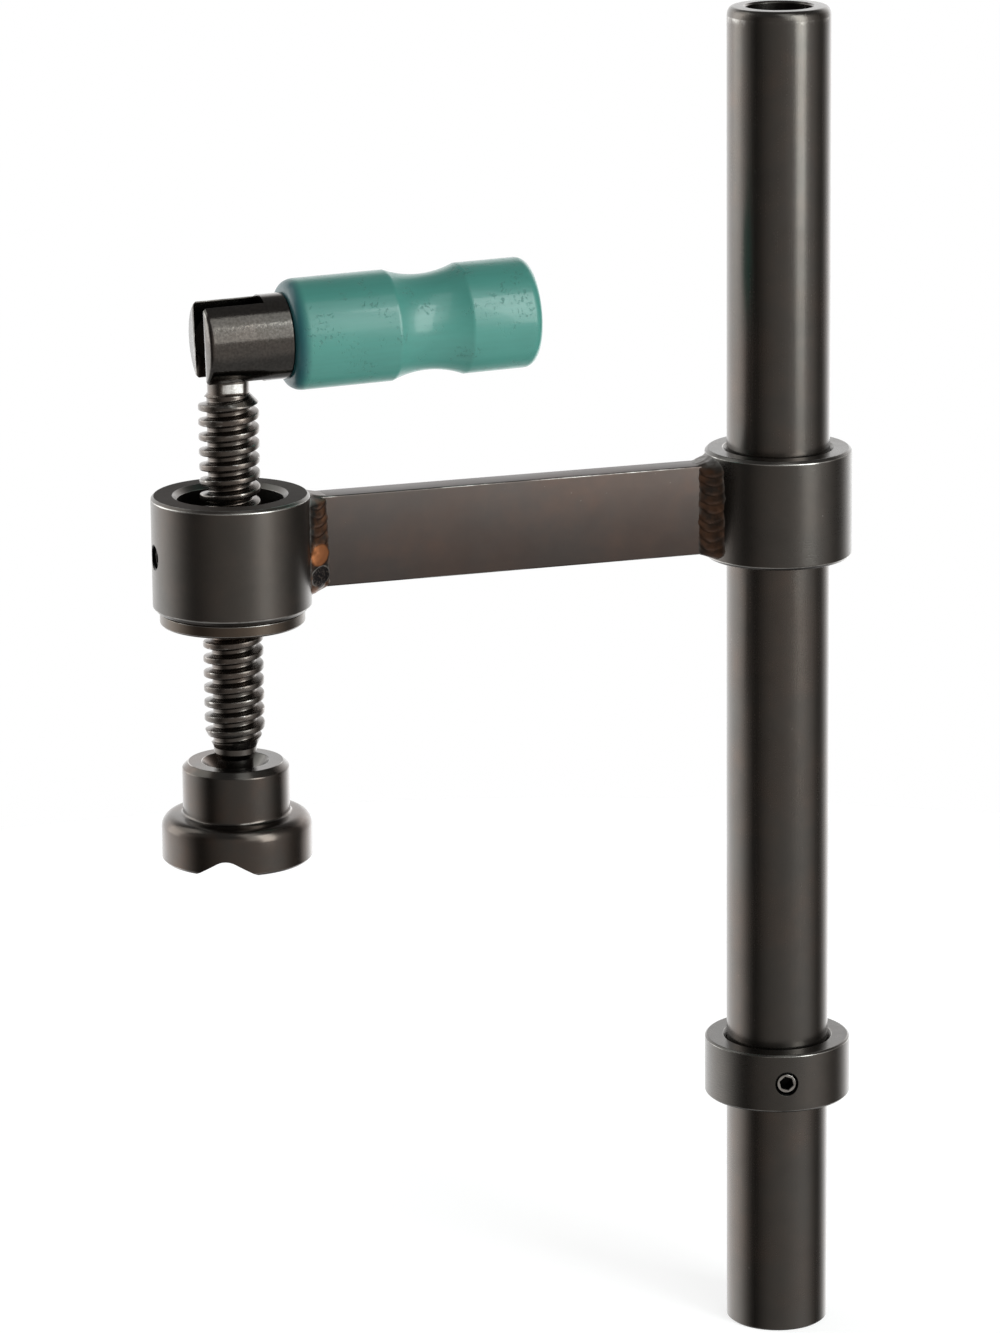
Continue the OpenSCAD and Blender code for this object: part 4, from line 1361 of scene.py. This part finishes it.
class ClampStage(bpy.types.Operator):
    """Set up the floor, the studio light and the camera at the photograph's angle."""

    bl_idname = "clamp.stage"
    bl_label = "Stage"

    def execute(self, context):
        self.floor()
        self.studio()
        self.lamps()
        self.camera(context)
        context.scene.view_settings.view_transform = "Standard"
        return {"FINISHED"}

    def floor(self):
        """A pale round floor: keeps the shadow, white to the camera where lit, and glowing as a fill light.
        """
        centre = -0.07
        radius = 0.55
        rim = arc(centre, 0, radius, radius, 0, 355, 71)
        mesh = bpy.data.meshes.new("floor")
        mesh.from_pydata([(x, y, POST_LOW.z) for x, y in rim], [], [list(range(len(rim)))])
        material = bpy.data.materials.new("Pale floor")
        tree = emptied(material)
        path = put(tree, "ShaderNodeLightPath", {}, {}, "Is Camera Ray")
        glossy = Wire(path.socket.node.outputs["Is Glossy Ray"])

        def glowing(shade, strength):
            matt = put(tree, "ShaderNodeBsdfDiffuse", {}, {"Color": shade})
            glow = put(tree, "ShaderNodeEmission", {}, {"Color": (1, 1, 1, 1), "Strength": strength})
            return put(tree, "ShaderNodeAddShader", {}, {0: matt, 1: glow})

        # To rays other than the camera's and glossy ones the floor glows, a fill light from below.
        pale = glowing(rgba(finishes().floor), 0.95)
        seen = glowing((0.42, 0.42, 0.42, 1.0), 0.72)
        clear = put(tree, "ShaderNodeBsdfTransparent", {}, {})
        surface = put(tree, "ShaderNodeMixShader", {}, {0: path, 1: pale, 2: seen})
        surface = put(tree, "ShaderNodeMixShader", {}, {0: glossy, 1: surface, 2: clear})
        ended(tree, "ShaderNodeOutputMaterial", surface)
        added("floor", mesh, material)

    def studio(self):
        """The surroundings: white behind the object, dimmer cards to the front and the left.

        A stop is a bearing from the camera's in degrees, to the right, and a strength. Dim stops are warm.
        """
        world = bpy.data.worlds.new("Studio")
        bpy.context.scene.world = world
        tree = emptied(world)
        way = put(tree, "ShaderNodeTexCoord", {}, {}, "Generated")
        bearing = way.part("Y").math("ARCTAN2", way.part("X"))
        turn = ((bearing - CAMERA_BEARING) / (2 * math.pi) + 0.5).changed("FRACT")
        stops = [
            (-180, 1.4), (-152, 1.6), (-135, 2.0), (-118, 2.1), (-100, 1.95), (-88, 1.3), (-76, 0.6),
            (-62, 0.05), (-50, 0.02), (-38, 0.14), (-18, 0.34), (0, 0.40), (22, 0.48), (50, 0.70),
            (66, 0.82), (80, 0.66), (94, 0.26), (108, 0.07), (120, 0.25), (136, 1.5), (152, 2.4),
            (166, 2.1), (180, 1.4),
        ]
        most = 2.5
        warm = Vector((1.08, 0.99, 0.90))
        neutral = Vector((1.0, 1.0, 1.0))
        shades = []
        for degrees, value in stops:
            shade = warm.lerp(neutral, min(1.0, value)) * (value / most)
            shades.append((0.5 + degrees / 360, tuple(shade)))
        around = put(tree, "ShaderNodeValToRGB", {"stops": shades, "interpolation": "B_SPLINE"}, {0: turn})
        high = way.part("Z")
        card = mixed(high.steep(0.35, 0.65), around, [0.18 / most] * 3)
        card = mixed(high.steep(-0.45, -0.8), card, [0.35 / most] * 3)
        path = put(tree, "ShaderNodeLightPath", {}, {}, "Is Camera Ray")
        seen = mixed(path, card, [1 / most] * 3)
        light = put(tree, "ShaderNodeBackground", {}, {"Color": seen, "Strength": most})
        ended(tree, "ShaderNodeOutputWorld", light)

    def lamps(self):
        """Soft boxes at right front, right and left, each with its bearing, rise, size and power."""
        target = Vector((-0.07, 0.0, 0.14))
        distance = 1.5
        lamps = [
            ("Key", 32, 42, (0.62, 1.95), 5.4), ("Strip", 52, 21, (0.60, 1.6), 16.5),
            ("Left", -106, 25, (0.85, 1.8), 7.0),
        ]
        for name, side, height, size, power in lamps:
            angle = CAMERA_BEARING + math.radians(side)
            rise = math.radians(height)
            way = Vector((math.cos(angle) * math.cos(rise), math.sin(angle) * math.cos(rise), math.sin(rise)))
            data = bpy.data.lights.new(name, "AREA")
            data.shape = "RECTANGLE"
            data.size, data.size_y = size
            data.energy = power
            data.color = (0.95, 1.0, 0.99)
            lamp = bpy.data.objects.new(name, data)
            bpy.context.scene.collection.objects.link(lamp)
            lamp.location = target + way * distance
            lamp.rotation_euler = (-way).to_track_quat("-Z", "Y").to_euler()

    def camera(self, context):
        """The camera at the photograph's viewing angle."""
        data = bpy.data.cameras.new("Camera")
        data.lens = CAMERA_LENS
        data.sensor_width = 36.0
        data.shift_y = -0.13
        data.clip_start = 0.05
        data.clip_end = 20.0
        camera = bpy.data.objects.new("Camera", data)
        context.scene.collection.objects.link(camera)
        right = Vector((math.cos(CAMERA_TURN), math.sin(CAMERA_TURN), 0))
        level = Vector((-math.sin(CAMERA_TURN), math.cos(CAMERA_TURN), 0))
        ahead = level * math.cos(CAMERA_PITCH) - Vector((0, 0, 1)) * math.sin(CAMERA_PITCH)
        turn = Matrix((right, right.cross(ahead), -ahead)).transposed()
        roll = Matrix.Rotation(CAMERA_ROLL, 3, "Z")
        camera.matrix_world = Matrix.Translation(CAMERA_PLACE) @ (turn @ roll).to_4x4()
        context.scene.camera = camera


class ClampPanel(bpy.types.Panel):
    """The clamp's settings and pieces in the sidebar."""

    bl_idname = "VIEW3D_PT_clamp"
    bl_label = "Swing clamp"
    bl_space_type = "VIEW_3D"
    bl_region_type = "UI"
    bl_category = "Clamp"

    def draw(self, context):
        for group in (sizes(), finishes()):
            box = self.layout.box()
            for name in group.__annotations__:
                box.prop(group, name)
        for operator in OPERATORS:
            self.layout.operator(operator.bl_idname)


OPERATORS = [
    ClampPost, ClampStop, ClampArm, ClampWelds, ClampBush, ClampSpindle, ClampPad, ClampHandle, ClampStage,
]
CLASSES = [ClampSizes, ClampFinishes, *OPERATORS, ClampPanel]


def register():
    """Adds the classes and the scene's settings."""
    for entry in CLASSES:
        bpy.utils.register_class(entry)
    bpy.types.Scene.clamp_sizes = bpy.props.PointerProperty(type=ClampSizes)
    bpy.types.Scene.clamp_finishes = bpy.props.PointerProperty(type=ClampFinishes)


def unregister():
    """Removes the settings and the classes."""
    del bpy.types.Scene.clamp_finishes
    del bpy.types.Scene.clamp_sizes
    for entry in reversed(CLASSES):
        bpy.utils.unregister_class(entry)


def main():
    """Builds every piece."""
    register()
    for operator in OPERATORS:
        family, name = operator.bl_idname.split(".")
        getattr(getattr(bpy.ops, family), name)()


if __name__ == "__main__":
    main()
